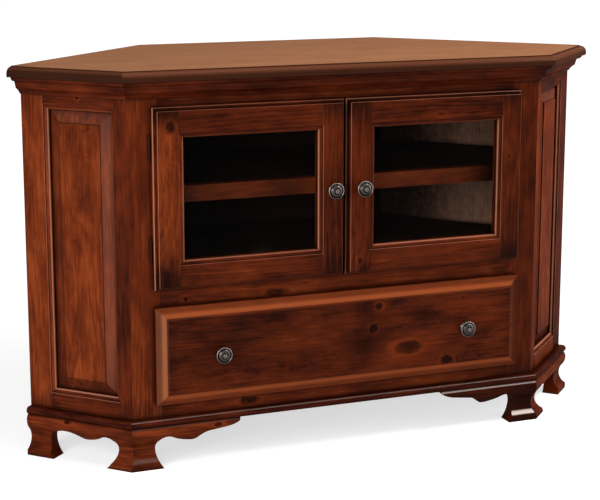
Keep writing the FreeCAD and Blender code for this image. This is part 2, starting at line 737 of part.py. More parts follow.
def make_hinges():
    """Slim overlay hinges: a leaf wrapped round the stile, a leaf on the door's back, and a pin."""
    levels = ("door_z - overlay + hinge_inset - hinge_length / 2",
              "door_z - overlay + door_height - hinge_inset - hinge_length / 2")
    edge = "overlay + barrel_radius + barrel_clearance"
    seat = "leaf_seat - hinge_leaf"
    inside = edge + " + hinge_leaf"
    tail = "leaf_seat + frame_leaf_depth"
    wrapped = [("0", seat), (inside, seat), (inside, tail), (edge, tail), (edge, "leaf_seat"),
               ("0", "leaf_seat")]
    back = "leaf_seat - door_standoff"
    flat = [("0", back), ("door_leaf_width", back), ("door_leaf_width", back + " + hinge_leaf"),
            ("0", back + " + hinge_leaf")]
    room = "barrel_radius + barrel_clearance"

    def relief(low, high):
        return [("-(%s)" % room, low), (room, low), (room, high), ("-(%s)" % room, high)]

    middle = [relief("knuckle - leaf_clearance", "2 * knuckle + leaf_clearance")]
    outer = [relief("-cut_overrun", "knuckle"), relief("2 * knuckle", "hinge_length + cut_overrun")]
    frame_leaves, door_leaves, pins = [], [], []
    for name, level in zip(("lower", "upper"), levels):
        at = ("barrel_x", "-leaf_seat", level)
        for kind, outline, gaps, clearance, kept in (
                ("frame_leaf", wrapped, middle, "0", frame_leaves),
                ("door_leaf", flat, outer, "pin_clearance", door_leaves)):
            leaf = new_body("%s_%s" % (kind, name))
            pad(leaf, "XY_Plane", outline, "hinge_length")
            pad(leaf, "XY_Plane", [("0", "0", "barrel_radius")], "hinge_length")
            cut(leaf, "XZ_Plane", gaps)
            cut(leaf, "XY_Plane", [[("0", "0", "pin_radius + " + clearance)]])
            kept.append(place(leaf, at, FRONT_WALL))
        pin = doc.addObject("Part::Cylinder", "hinge_pin_" + name)
        bind(pin, "Radius", "pin_radius")
        bind(pin, "Height", "hinge_length + 2 * pin_tip")
        pins.append(place(pin, ("barrel_x", "-leaf_seat", level + " - pin_tip"), FRONT_WALL))
    for label, left in (("hinge_frame_leaves", frame_leaves), ("hinge_pins", pins)):
        keep(group(label, left + [mirror(item, item.Name + "_right") for item in left]))
    keep_door(group("door_left_hinge_leaves", door_leaves))


def channel(label, web, inside, lip, half):
    """One length of slide: a channel whose web and flanges are sheet steel."""
    low, high = "-(%s)" % half, half
    thin = "(%s) - slide_metal" % half
    section = [(web, low), (web, high), (lip, high), (lip, thin), (inside, thin), (inside, "-(%s)" % thin),
               (lip, "-(%s)" % thin), (lip, low)]
    body = bar(label, "slide_length", section)
    return place(body, ("front_stile_width", "slide_setback", "slide_z"), FRONT_WALL, DEPTHWISE)


def make_drawer():
    """The drawer: a raised front, a box of four boards on a bottom, two knobs and full-travel slides."""
    base = "drawer_z - overlay"
    face = "-(door_standoff + drawer_front_thickness)"
    edge = [("0", "drawer_field_step + drawer_bevel_drop"), ("drawer_bevel", "drawer_field_step"),
            ("drawer_bevel", "arris_round", QUARTER_SHARE), ("drawer_bevel + arris_round", "0")]
    front = raised_piece("drawer_front", "drawer_front_width", "drawer_front_height", edge,
                         "drawer_front_thickness")
    keep(place(front, ("door_x", face, base + " + drawer_front_height"), FRONT_WALL, lying("0")))
    y = "front_y - door_standoff"
    z = "drawer_z + box_floor_gap"
    side = board("drawer_side_left", ("box_thickness", "box_depth", "box_height"),
                 ("-box_half_width", y, z))
    keep(group("drawer_sides", [side, mirror(side, "drawer_side_right")]))
    x = "-box_half_width + box_thickness"
    wide = "2 * (box_half_width - box_thickness)"
    end = (wide, "box_thickness", "box_height")
    rear = y + " + box_depth - box_thickness"
    keep(group("drawer_box_ends", [board("drawer_box_front", end, (x, y, z)),
                                   board("drawer_box_back", end, (x, rear, z))]))
    keep(board("drawer_bottom", (wide, "box_depth - 2 * box_thickness", "box_bottom_thickness"),
               (x, y + " + box_thickness", z + " + box_bottom_rise")))
    knob = make_knob("drawer_knob_left", ("half_front - drawer_knob_spacing / 2", face,
                                          base + " + drawer_front_height / 2"))
    keep(group("drawer_knobs", [knob, mirror(knob, "drawer_knob_right")]))
    behind = "slide_metal + slide_clearance"
    rows = (
        ("slide_outer_members", "0", "-slide_metal", "-slide_flange", "slide_height / 2"),
        ("slide_middle_members", "-(%s)" % behind, "-(%s + slide_metal)" % behind, "-slide_flange",
         "slide_middle_half"),
        ("slide_inner_members", "-slide_thickness", "-(slide_thickness - slide_metal)", "-slide_inner_lip",
         "slide_inner_half"),
    )
    for label, web, inside, lip, half in rows:
        left = channel(label + "_left", web, inside, lip, half)
        keep(group(label, [left, mirror(left, label + "_right")]))


def hand_in():
    """Check every object, then write one file for each piece."""
    doc.recompute()
    failed = [item.Label for item in doc.Objects if {"Invalid", "Error"} & set(item.State)]
    if failed:
        raise RuntimeError("not built: " + ", ".join(failed))
    for item in nodes:
        if item.Shape.isNull() or not item.Shape.isValid():
            raise RuntimeError("not a sound solid: " + item.Label)
    os.makedirs("parts", exist_ok=True)
    for item in nodes:
        item.Shape.exportStep(os.path.join("parts", item.Label + ".step"))
    print("wrote %d pieces" % len(nodes))


fill_sheets()
make_top()
make_mouldings()
make_feet()
make_face_frame()
make_side_frame()
make_carcase()
make_doors()
make_hinges()
make_drawer()
hand_in()
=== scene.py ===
"""Dresses the corner television cabinet: knotty cherry under a brown stain and satin lacquer, clear glass in
the doors, antiqued pewter knobs, and the screws that its solids leave out."""
import logging
import math
from dataclasses import dataclass
from enum import Enum
from typing import Any

import bmesh
import bpy
from mathutils import Matrix, Vector


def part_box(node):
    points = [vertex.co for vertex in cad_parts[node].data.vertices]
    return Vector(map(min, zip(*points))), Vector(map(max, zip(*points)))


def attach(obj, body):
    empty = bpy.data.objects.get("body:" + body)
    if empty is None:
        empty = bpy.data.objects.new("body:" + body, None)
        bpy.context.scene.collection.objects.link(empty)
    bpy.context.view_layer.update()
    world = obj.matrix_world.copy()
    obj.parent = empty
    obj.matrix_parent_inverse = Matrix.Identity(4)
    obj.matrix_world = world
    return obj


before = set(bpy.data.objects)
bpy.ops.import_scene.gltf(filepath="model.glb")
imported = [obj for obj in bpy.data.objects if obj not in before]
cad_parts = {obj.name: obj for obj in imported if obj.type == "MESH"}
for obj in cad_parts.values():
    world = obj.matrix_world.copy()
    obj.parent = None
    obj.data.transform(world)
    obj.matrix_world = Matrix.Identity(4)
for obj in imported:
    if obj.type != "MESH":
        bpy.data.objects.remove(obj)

LOG = logging.getLogger("cabinet")
MM = 0.001
DIAGONAL = math.sqrt(0.5)
CUT_STEP = 1.37       # metres along the log from one board to the next, so that no two look alike
Triple = tuple[float, float, float]


def linear(code: str) -> tuple[float, float, float, float]:
    """Turn an sRGB hex colour to linear light.

    Args:
        code: Six hex digits after a hash.

    Returns:
        Red, green, blue and an alpha of one.
    """
    shares = [int(code[i:i + 2], 16) / 255 for i in (1, 3, 5)]
    red, green, blue = [s / 12.92 if s <= 0.04045 else ((s + 0.055) / 1.055) ** 2.4 for s in shares]
    return red, green, blue, 1.0


def add(tree: bpy.types.NodeTree, kind: str, links: dict | None = None, **settings: Any) -> bpy.types.Node:
    """Add a shader node with its settings and links.

    Args:
        tree: The tree that gets the node.
        kind: The node's type, without its ShaderNode prefix.
        links: By input name or number: a node, an output socket, or a plain value.
        settings: The node's own options; stops fills a colour ramp with places and greys or hex colours.

    Returns:
        The new node.
    """
    node = tree.nodes.new(kind if kind.startswith("Node") else "ShaderNode" + kind)
    stops = settings.pop("stops", ())
    for name, setting in settings.items():
        setattr(node, name, setting)
    for place, colour in stops[2:]:
        node.color_ramp.elements.new(place)
    for element, (place, colour) in zip(node.color_ramp.elements if stops else (), stops):
        element.position = place
        element.color = linear(colour) if isinstance(colour, str) else (colour, colour, colour, 1.0)
    for name, source in (links or {}).items():
        source = source.outputs[0] if isinstance(source, bpy.types.Node) else source
        if isinstance(source, bpy.types.NodeSocket):
            tree.links.new(source, node.inputs[name])
        else:
            node.inputs[name].default_value = source
    return node


def lay(tree: bpy.types.NodeTree, below: Any, above: str, where: Any, share: float) -> bpy.types.NodeSocket:
    """Lay one colour over another where a mask says so.

    Args:
        tree: The material's tree.
        below: The colour so far.
        above: The hex colour that goes over it.
        where: The mask.
        share: How much of the mask counts.

    Returns:
        The mixed colour.
    """
    factor = add(tree, "Math", {0: where, 1: share}, operation="MULTIPLY")
    return add(tree, "Mix", {0: factor, 6: below, 7: linear(above)}, data_type="RGBA").outputs[2]


def new_group(name: str, inputs: dict[str, str], outputs: list[str]) -> tuple[bpy.types.NodeTree, Any, Any]:
    """Start a node group.

    Args:
        name: The group's name.
        inputs: Input names with the kind of each.
        outputs: Names of the number outputs.

    Returns:
        The tree, its input node and its output node.
    """
    tree = bpy.data.node_groups.new(name, "ShaderNodeTree")
    for label, kind in inputs.items():
        tree.interface.new_socket(name=label, in_out="INPUT", socket_type="NodeSocket" + kind)
    for label in outputs:
        tree.interface.new_socket(name=label, in_out="OUTPUT", socket_type="NodeSocketFloat")
    return tree, add(tree, "NodeGroupInput"), add(tree, "NodeGroupOutput")


def new_material(name: str, sockets: dict[str, Any]) -> tuple[bpy.types.Material, bpy.types.NodeTree, Any]:
    """Start a material with one principled shader.

    Args:
        name: The material's name.
        sockets: Values that are the same all over the surface, by socket name.

    Returns:
        The material, its tree and its shader.
    """
    material = bpy.data.materials.new(name)
    material.use_nodes = True
    shader = material.node_tree.nodes["Principled BSDF"]
    for socket, setting in sockets.items():
        shader.inputs[socket].default_value = setting
    return material, material.node_tree, shader


def put_on(piece: bpy.types.Object, material: bpy.types.Material) -> None:
    """Give a piece one material."""
    piece.data.materials.clear()
    piece.data.materials.append(material)


def box_mm(node: str) -> tuple[Vector, Vector]:
    """Give a node's lowest and highest corner at rest, in millimetres."""
    low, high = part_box(node)
    return low / MM, high / MM


class Side(Enum):
    """The cabinet's two sides, as seen from the front."""

    LEFT = -1
    RIGHT = 1

    def label(self) -> str:
        """Give the word that node names use."""
        return self.name.lower()

    def front(self) -> Triple:
        """Give the way that this side's wall looks."""
        return self.value * DIAGONAL, -DIAGONAL, 0.0


class Grain(Enum):
    """Which way a board's fibres run: along, across its face and into it, in the cabinet's axes."""

    UPRIGHT = ((0, 0, 1), (1, 0, 0), (0, 1, 0))
    LEVEL = ((1, 0, 0), (0, 0, -1), (0, 1, 0))
    LYING = ((1, 0, 0), (0, 1, 0), (0, 0, 1))
    DEPTHWISE = ((0, 1, 0), (0, 0, 1), (1, 0, 0))
    RIGHT_LEVEL = ((1, 1, 0), (0, 0, -1), (-1, 1, 0))
    LEFT_LEVEL = ((1, -1, 0), (0, 0, -1), (1, 1, 0))
    RIGHT_UPRIGHT = ((0, 0, 1), (1, 1, 0), (-1, 1, 0))
    LEFT_UPRIGHT = ((0, 0, 1), (1, -1, 0), (1, 1, 0))

    def turn(self) -> Matrix:
        """Give the rotation from the cabinet's axes to the board's."""
        return Matrix([Vector(row).normalized() for row in self.value])


class Edge(Enum):
    """Painted light, shade and rubbed wear on shaped edges: where, by how squarely a point looks one way,
    and its colour.
    """

    # Rubbed wear on roundovers, with a painted highlight on them too.
    RUBBED_AND_LIT = (((0.15, 0.0), (0.4, 1.0), (0.8, 1.0), (0.9, 0.0)), "#A3593A")
    # Painted highlight along a rounded edge that faces the lamps.
    CORNER = (((0.95, 0.0), (0.99, 1.0)), "#C08A70")
    # Painted light on a drawer bevel, set by the way that the bevel faces.
    BEVEL = (((0.965, 0.0), (0.99, 1.0)), "#A8542C")
    # Painted sheen: a pale reflection on the drawer's left bevel.
    SHEEN_BEVEL = (((0.965, 0.0), (0.99, 1.0)), "#AC7656")
    # Painted shadow on the step walls round a raised field.
    STEP = (((0.0, 1.0), (0.7, 1.0), (0.92, 0.0)), "#140604")
    # Dark stain on the top's left nosing, and painted shade on the inner face of the middle back panel.
    STAINED = (((0.5, 0.0), (0.9, 1.0)), "#1C0E08")
    # Painted sheen: a pale grey reflection on side panel bevels.
    SHEEN_PANEL_BEVEL = (((0.991, 0.0), (0.997, 1.0)), "#A27464")
    # Painted shade on side panel bevels that face away from the lamps.
    SHADED_BEVEL = (((0.991, 0.0), (0.997, 1.0)), "#2A0E06")
    # Painted highlight along the top's front and right nosing.
    LIT_NOSING = (((0.8, 0.0), (0.97, 1.0)), "#8A5238")
    # Painted glint along bead tops and a foot's flare, where the lacquer would reflect a lamp.
    GLINT = (((0.97, 0.0), (0.995, 1.0)), "#DCC8BE")


EdgeLightAndWear = tuple[tuple[Edge, Triple, float], ...]      # what, the way that the edge looks, and its share


@dataclass(frozen=True)
class Knot:
    """A knot, or a dark patch that is drawn like one, in millimetres.

    It has a place in the cabinet, and half sizes along and across the grain. Push is how far it moves the
    rings aside, in its own half widths, dark how dark its heart is, and warm how warm the wood round it. A
    soft one is only a dark patch: over a knot that lies deeper, as painted shadow on the shelf's edge, or as
    painted shade on a wing's inner face, which reaches no further than deep into the board.
    """

    place: Triple
    along: float
    across: float
    push: float = 1.6
    dark: float = 1.0
    warm: float = 0.45
    soft: bool = False
    deep: float = 0.0


@dataclass(frozen=True)
class Board:
    """How one board was cut and finished, in millimetres.

    Half is half its length along the grain, and the heart of the tree lies so far across and behind its
    centre. Border gives the half width, middle height and half height of a bevelled front and its bevel's
    width, over which the bevel's shading is painted. Each edge comes with the way that it looks and its
    share:
    painted highlights, sheen and shade, and rubbed wear. Below dark_under the colour is darkened with the
    glaze, strip is the width of the boards in a glued-up piece, end_glaze says how much of the glaze stayed
    at its ends, and tone makes it lighter or darker.
    """

    grain: Grain
    centre: Triple
    half: float
    heart: tuple[float, float]
    seed: int
    border: tuple[float, float, float, float] = ()
    knots: tuple[Knot, ...] = ()
    both_sides: bool = False
    edges: EdgeLightAndWear = ()
    dark_under: float = 0.0
    strip: float = 0.0
    end_glaze: float = 0.5
    tone: float = 0.0


class CherryFigure:
    """The growth rings, streaks, blotches and pores of cherry, as node groups that every board shares."""

    RING = 6.0 * MM                     # real rings are 2 to 4 mm, too fine to show, so drawn twice as wide
    RING_SHARE = -0.2                   # how much darker a ring's late wood is
    WANDER = (420.0 * MM, 90.0 * MM)    # slow bends of the rings, along and across the grain
    BEND = 50.0 * MM                    # how far they move a ring
    BAND = (250.0 * MM, 30.0 * MM)      # stretches where the rings show more or less
    PORE = (16.0 * MM, 1.1 * MM)        # real pores are under 0.1 mm wide, so drawn as flecks of stain
    SMUDGE = (81.0 * MM, 45.0 * MM)     # patches where the wiping rag left more glaze
    FIBRE = 3.0 * MM                    # real fibre bundles are a few tenths wide, so drawn to show
    # Streaks: their size along and across the grain, their octaves and their share in the tone.
    STREAKS = ((600.0 * MM, 22.0 * MM, 3.0, 0.25), (130.0 * MM, 60.0 * MM, 4.0, 0.85),
               (35.0 * MM, 12.0 * MM, 2.0, 0.46), (70.0 * MM, FIBRE, 2.0, 0.62))
    TONE_START = -0.56                  # brings the middle of all these to the middle of the stain's colours
    WOBBLE = 100.0 / 7.0 * MM           # dents in a knot's outline, about 14 mm apart
    DENT = 1.1                          # how deep they go, in half widths of the knot
    VEIN = 25.0 / 6.0 * MM              # cracks in its heart, about 4 mm apart
    PUSH_FADE = -0.11                   # how fast its push on the rings dies away

    def __init__(self) -> None:
        """Build the groups."""
        self.figure = self.build_figure()
        self.knot = self.build_knot()

    def noise(self, tree: bpy.types.NodeTree, at: Any, along: float, across: float, detail: float) -> Any:
        """Add a noise stretched along the grain.

        Args:
            tree: The tree that gets it.
            at: The board coordinates.
            along: Size of its marks along the grain, in metres.
            across: Size of its marks across the grain, in metres.
            detail: How many octaves it has.

        Returns:
            The noise, from 0 to 1.
        """
        shares = (1 / along, 1 / across, 1 / across)
        scaled = add(tree, "VectorMath", {0: at, 1: shares}, operation="MULTIPLY")
        return add(tree, "TexNoise", {"Vector": scaled, "Scale": 1.0, "Detail": detail}).outputs[0]

    def build_figure(self) -> bpy.types.NodeTree:
        """Make the group that turns board coordinates into a tone, pores and smudges of glaze.

        Returns:
            The group's tree.
        """
        tree, source, result = new_group("cherry_figure", {"Board": "Vector", "Lift": "Float"},
                                         ["Tone", "Pores", "Smudge"])
        at = source.outputs["Board"]
        wander = self.noise(tree, at, *self.WANDER, 1.0)
        flat = add(tree, "VectorMath", {0: at, 1: (0.0, 1.0, 1.0)}, operation="MULTIPLY")
        radius = add(tree, "VectorMath", {0: flat}, operation="LENGTH").outputs["Value"]
        bent = add(tree, "Math", {0: wander, 1: self.BEND, 2: radius}, operation="MULTIPLY_ADD")
        lifted = add(tree, "Math", {0: bent, 1: source.outputs["Lift"]}, operation="ADD")
        count = add(tree, "Math", {0: lifted, 1: 1 / self.RING}, operation="MULTIPLY")
        ring = add(tree, "Math", {0: count}, operation="FRACT")
        ring = add(tree, "ValToRGB", {0: ring}, stops=((0.0, 0.0), (0.45, 0.12), (0.86, 1.0), (1.0, 0.0)))
        weight = add(tree, "MapRange", {"Value": self.noise(tree, at, *self.BAND, 1.0), "From Min": 0.38,
                                        "From Max": 0.68, "To Min": 0.05, "To Max": 1.0})
        ring = add(tree, "Math", {0: ring, 1: weight}, operation="MULTIPLY")
        tone = add(tree, "Math", {0: ring, 1: self.RING_SHARE, 2: self.TONE_START}, operation="MULTIPLY_ADD")
        for along, across, detail, share in self.STREAKS:
            part = self.noise(tree, at, along, across, detail)
            tone = add(tree, "Math", {0: part, 1: share, 2: tone}, operation="MULTIPLY_ADD")
        pores = add(tree, "MapRange", {"Value": self.noise(tree, at, *self.PORE, 0.0), "From Min": 0.62,
                                       "From Max": 0.78})
        smudge = add(tree, "MapRange", {"Value": self.noise(tree, at, *self.SMUDGE, 3.0), "From Min": 0.54,
                                        "From Max": 0.76})
        for node, name in ((tone, "Tone"), (pores, "Pores"), (smudge, "Smudge")):
            tree.links.new(node.outputs[0], result.inputs[name])
        return tree

    def build_knot(self) -> bpy.types.NodeTree:
        """Make the group that gives a knot's push on the rings, its dark heart and the warm wood round it.

        Returns:
            The group's tree.
        """
        tree, source, result = new_group(
            "cherry_knot", {"Board": "Vector", "Centre": "Vector", "Shares": "Vector", "Rise": "Float"},
            ["Lift", "Core", "Halo", "Patch"])
        at = source.outputs["Board"]
        wobble = add(tree, "TexNoise", {"Vector": at, "Scale": 1 / self.WOBBLE, "Detail": 3.0})
        away = add(tree, "VectorMath", {0: at, 1: source.outputs["Centre"]}, operation="SUBTRACT")
        away = add(tree, "VectorMath", {0: away, 1: source.outputs["Shares"]}, operation="MULTIPLY")
        reach = add(tree, "VectorMath", {0: away}, operation="LENGTH").outputs["Value"]
        reach = add(tree, "Math", {0: wobble.outputs[0], 1: self.DENT, 2: reach}, operation="MULTIPLY_ADD")
        reach = add(tree, "Math", {0: reach, 1: self.DENT / 2}, operation="SUBTRACT")
        square = add(tree, "Math", {0: reach, 1: reach}, operation="MULTIPLY")
        fade = add(tree, "Math", {0: square, 1: self.PUSH_FADE}, operation="MULTIPLY")
        fade = add(tree, "Math", {0: fade}, operation="EXPONENT")
        lift = add(tree, "Math", {0: fade, 1: source.outputs["Rise"]}, operation="MULTIPLY")
        core = add(tree, "MapRange", {"Value": reach, "From Min": 1.25, "From Max": 0.5})
        veins = add(tree, "TexNoise", {"Vector": at, "Scale": 1 / self.VEIN, "Detail": 2.0})
        veins = add(tree, "MapRange", {"Value": veins, "From Min": 0.62, "From Max": 0.42, "To Min": 0.55})
        core = add(tree, "Math", {0: core, 1: veins}, operation="MULTIPLY")
        quarter = add(tree, "Math", {0: reach, 1: 0.25}, operation="MULTIPLY")
        halo = add(tree, "ValToRGB", {0: quarter}, stops=((0.2, 0.0), (0.3, 1.0), (0.42, 0.28), (0.8, 0.0)))
        patch = add(tree, "MapRange", {"Value": reach, "From Min": 1.9, "From Max": 0.1},
                    interpolation_type="SMOOTHSTEP")
        for node, name in ((lift, "Lift"), (core, "Core"), (halo, "Halo"), (patch, "Patch")):
            tree.links.new(node.outputs[0], result.inputs[name])
        return tree


@dataclass(frozen=True)
class FinishedWood:
    """Wood, planed and sanded, wiped with a stain and a darker glaze, then sprayed with satin lacquer.

    The stain makes blotches and streaks, the glaze stays in corners, where painted shade also darkens
    corners and the gaps between parts, and the lacquer film gives a soft gloss of its own, held low because
    the white surround would grey the stain.
    """

    name: str
    dark: str
    middle: str
    light: str
    glaze: str = "#180805"
    knot: str = "#0C0402"
    halo: str = "#8E3A18"
    corner_glaze_and_shade_share: float = 0.85
    smudge_share: float = 0.45
    roughness: tuple[float, float] = (0.42, 0.58)
    coat: float = 0.045
    coat_roughness: float = 0.2
    pore_share: float = 0.22
    knot_share: float = 0.95
    dark_share: float = 0.93
    corner: float = 11.0       # how far the glaze and painted shade reach out of a corner, in millimetres
    end_inset: float = 30.0    # how far from a board's end it is full
    end_reach: float = 60.0    # how far it fades out from there
    end_most: float = 0.4      # the most of half a board that this takes
    fray: float = 60.0         # how far the figure frays that fade
    blur: float = 0.4          # half the width of a wiped line
    strip_jump: Triple = (3.0, 0.06, 0.05)    # how far the figure may jump at a glue line, in metres

    def dress(self, piece: bpy.types.Object, board: Board, groups: CherryFigure) -> None:
        """Give one board its own cut of this wood.

        Args:
            piece: The board.
            board: How it was cut.
            groups: The shared figure of the wood.
        """
        material, tree, shader = new_material(f"{self.name}_{piece.name}", {
            "Specular IOR Level": 0.0, "Coat Weight": self.coat, "Coat Roughness": self.coat_roughness})
        coordinates = add(tree, "TexCoord")
        turn = board.grain.turn()
        start = Vector((CUT_STEP * board.seed, board.heart[0] * MM, board.heart[1] * MM))
        start -= turn @ (Vector(board.centre) * MM)
        mapped = add(tree, "Mapping", {"Vector": self.place(tree, coordinates, board), "Location": start,
                                       "Rotation": turn.to_euler()}).outputs[0]
        figure = add(tree, "Group", node_tree=groups.figure)
        knots = [self.knot_node(tree, mapped, knot, turn @ (Vector(knot.place) * MM) + start, groups)
                 for knot in board.knots]
        tree.links.new(self.strips(tree, mapped, board), figure.inputs["Board"])
        lift = 0.0
        for knot in knots:
            lift = add(tree, "Math", {0: knot.outputs["Lift"], 1: lift}, operation="ADD").outputs[0]
        if knots:
            tree.links.new(lift, figure.inputs["Lift"])
        tone = add(tree, "Math", {0: figure.outputs["Tone"], 1: board.tone}, operation="ADD")
        colour = add(tree, "ValToRGB", {0: tone},
                     stops=((0.0, self.dark), (0.5, self.middle), (1.0, self.light))).outputs[0]
        colour = lay(tree, colour, self.glaze, figure.outputs["Smudge"], self.smudge_share)
        ends = self.ends(tree, mapped, board, figure.outputs["Tone"])
        colour = lay(tree, colour, self.glaze, ends, board.end_glaze)
        for node, knot in zip(knots, board.knots):
            heart = node.outputs["Patch" if knot.soft else "Core"]
            colour = lay(tree, colour, self.halo, node.outputs["Halo"], knot.warm)
            colour = lay(tree, colour, self.knot, heart, self.knot_share * knot.dark)
        colour = lay(tree, colour, self.glaze, figure.outputs["Pores"], self.pore_share)
        # Painted highlights, sheen and shade on the edges, with rubbed wear.
        colour = self.edges(tree, colour, coordinates, board)
        # Glaze kept in corners, with painted shade in corners and between parts: darker where ambient
        # occlusion finds a neighbour close.
        corner = add(tree, "AmbientOcclusion", {"Distance": self.corner * MM}, samples=8)
        occluded = add(tree, "MapRange", {"Value": corner.outputs["AO"], "From Min": 0.94, "From Max": 0.45})
        colour = lay(tree, colour, self.glaze, occluded, self.corner_glaze_and_shade_share)
        smooth, rough = self.roughness
        gloss = add(tree, "MapRange", {"Value": tone, "To Min": rough, "To Max": smooth})
        height = add(tree, "Math", {0: figure.outputs["Pores"], 1: -0.6, 2: tone}, operation="MULTIPLY_ADD")
        bump = add(tree, "Bump", {"Strength": 0.25, "Distance": 0.15 * MM, "Height": height})
        tree.links.new(colour, shader.inputs["Base Color"])
        tree.links.new(gloss.outputs[0], shader.inputs["Roughness"])
        tree.links.new(bump.outputs[0], shader.inputs["Normal"])
        put_on(piece, material)

    def place(self, tree: bpy.types.NodeTree, coordinates: bpy.types.Node, board: Board) -> Any:
        """Give a point's place in the cabinet, folded to one side where a piece comes as a mirrored pair.

        Args:
            tree: The material's tree.
            coordinates: The texture coordinates.
            board: How it was cut.

        Returns:
            The place.
        """
        here = coordinates.outputs["Object"]
        if not board.both_sides:
            return here
        split = add(tree, "SeparateXYZ", {0: here})
        folded = add(tree, "Math", {0: split.outputs[0]}, operation="ABSOLUTE")
        return add(tree, "CombineXYZ", {0: folded, 1: split.outputs[1], 2: split.outputs[2]}).outputs[0]

    def ends(self, tree: bpy.types.NodeTree, mapped: Any, board: Board, tone: Any) -> Any:
        """Mask a board's ends, where wiping stops short and more glaze stays.

        Args:
            tree: The material's tree.
            mapped: The board coordinates.
            board: How it was cut.
            tone: The wood's tone, which frays the mask.

        Returns:
            The mask.
        """
        along = add(tree, "SeparateXYZ", {0: mapped}).outputs[0]
        away = add(tree, "Math", {0: along, 1: CUT_STEP * board.seed}, operation="SUBTRACT")
        away = add(tree, "Math", {0: away}, operation="ABSOLUTE")
        frayed = add(tree, "Math", {0: tone, 1: -self.fray * MM, 2: away}, operation="MULTIPLY_ADD")
        outer = board.half - self.end_inset
        inner = outer - min(self.end_reach, self.end_most * board.half)
        return add(tree, "MapRange", {"Value": frayed, "From Min": inner * MM, "From Max": outer * MM},
                   interpolation_type="SMOOTHSTEP")

    def strips(self, tree: bpy.types.NodeTree, mapped: Any, board: Board) -> Any:
        """Shift the figure from strip to strip where a wide piece is glued up from boards.

        Args:
            tree: The material's tree.
            mapped: The board coordinates.
            board: How the piece was cut.

        Returns:
            The coordinates, with a jump at each glue line.
        """
        if not board.strip:
            return mapped
        across = add(tree, "SeparateXYZ", {0: mapped}).outputs[1]
        number = add(tree, "Math", {0: across, 1: 1000 / board.strip}, operation="MULTIPLY")
        number = add(tree, "Math", {0: number}, operation="FLOOR")
        jump = add(tree, "TexWhiteNoise", {"W": number}, noise_dimensions="1D").outputs["Color"]
        jump = add(tree, "VectorMath", {0: jump, 1: self.strip_jump}, operation="MULTIPLY")
        return add(tree, "VectorMath", {0: mapped, 1: jump}, operation="ADD").outputs[0]

    def knot_node(self, tree: bpy.types.NodeTree, mapped: Any, knot: Knot, spot: Vector,
                  groups: CherryFigure) -> bpy.types.Node:
        """Add one knot.

        Args:
            tree: The material's tree.
            mapped: The board coordinates.
            knot: The knot.
            spot: Its place in board coordinates.
            groups: The shared figure of the wood.

        Returns:
            The knot's node.
        """
        inward = 1000 / knot.deep if knot.deep else 0.0
        return add(tree, "Group", {"Board": mapped, "Centre": spot,
                                   "Shares": (1000 / knot.along, 1000 / knot.across, inward),
                                   "Rise": knot.push * knot.across * MM}, node_tree=groups.knot)

    def edges(self, tree: bpy.types.NodeTree, colour: Any, coordinates: bpy.types.Node, board: Board) -> Any:
        """Paint light, shade and rubbed wear on the shaped edges, told from the face by the way that they
        look.

        Args:
            tree: The material's tree.
            colour: The stained colour.
            coordinates: The texture coordinates.
            board: How it was finished.

        Returns:
            The colour.
        """
        if board.dark_under:
            height = add(tree, "SeparateXYZ", {0: coordinates.outputs["Object"]}).outputs[2]
            where = add(tree, "MapRange", {"Value": height, "From Min": (board.dark_under + self.blur) * MM,
                                           "From Max": (board.dark_under - self.blur) * MM})
            colour = lay(tree, colour, self.glaze, where, self.dark_share)
        # On a bevelled front, the edge marks follow a painted shading over the bevel's width.
        across = self.across(tree, coordinates, board) if board.border else 1.0
        normal = coordinates.outputs["Normal"]
        for edge, way, share in board.edges:
            stops, tint = edge.value
            facing = add(tree, "VectorMath", {0: normal, 1: Vector(way).normalized()},
                         operation="DOT_PRODUCT").outputs["Value"]
            where = add(tree, "ValToRGB", {0: facing}, stops=stops)
            where = add(tree, "Math", {0: where, 1: across}, operation="MULTIPLY")
            colour = lay(tree, colour, tint, where, share)
        return colour

    def across(self, tree: bpy.types.NodeTree, coordinates: bpy.types.Node, board: Board) -> Any:
        """Paint a hollowed bevel's shading over its width: weak at the outer edge, strongest two thirds of
        the way in, and weak again beside the raised field.

        Args:
            tree: The material's tree.
            coordinates: The texture coordinates.
            board: How it was finished.

        Returns:
            The share.
        """
        half, middle, rise, width = board.border
        split = add(tree, "SeparateXYZ", {0: coordinates.outputs["Object"]})
        side = add(tree, "Math", {0: split.outputs[0]}, operation="ABSOLUTE")
        side = add(tree, "Math", {0: half * MM, 1: side}, operation="SUBTRACT")
        up = add(tree, "Math", {0: split.outputs[2], 1: middle * MM}, operation="SUBTRACT")
        up = add(tree, "Math", {0: up}, operation="ABSOLUTE")
        up = add(tree, "Math", {0: rise * MM, 1: up}, operation="SUBTRACT")
        depth = add(tree, "Math", {0: side, 1: up}, operation="MINIMUM")
        depth = add(tree, "Math", {0: depth, 1: 1000 / width}, operation="MULTIPLY")
        return add(tree, "ValToRGB", {0: depth}, stops=((0.0, 0.45), (0.08, 0.28), (0.4, 0.36), (0.65, 1.0),
                                                        (0.88, 0.85), (0.96, 0.15))).outputs[0]


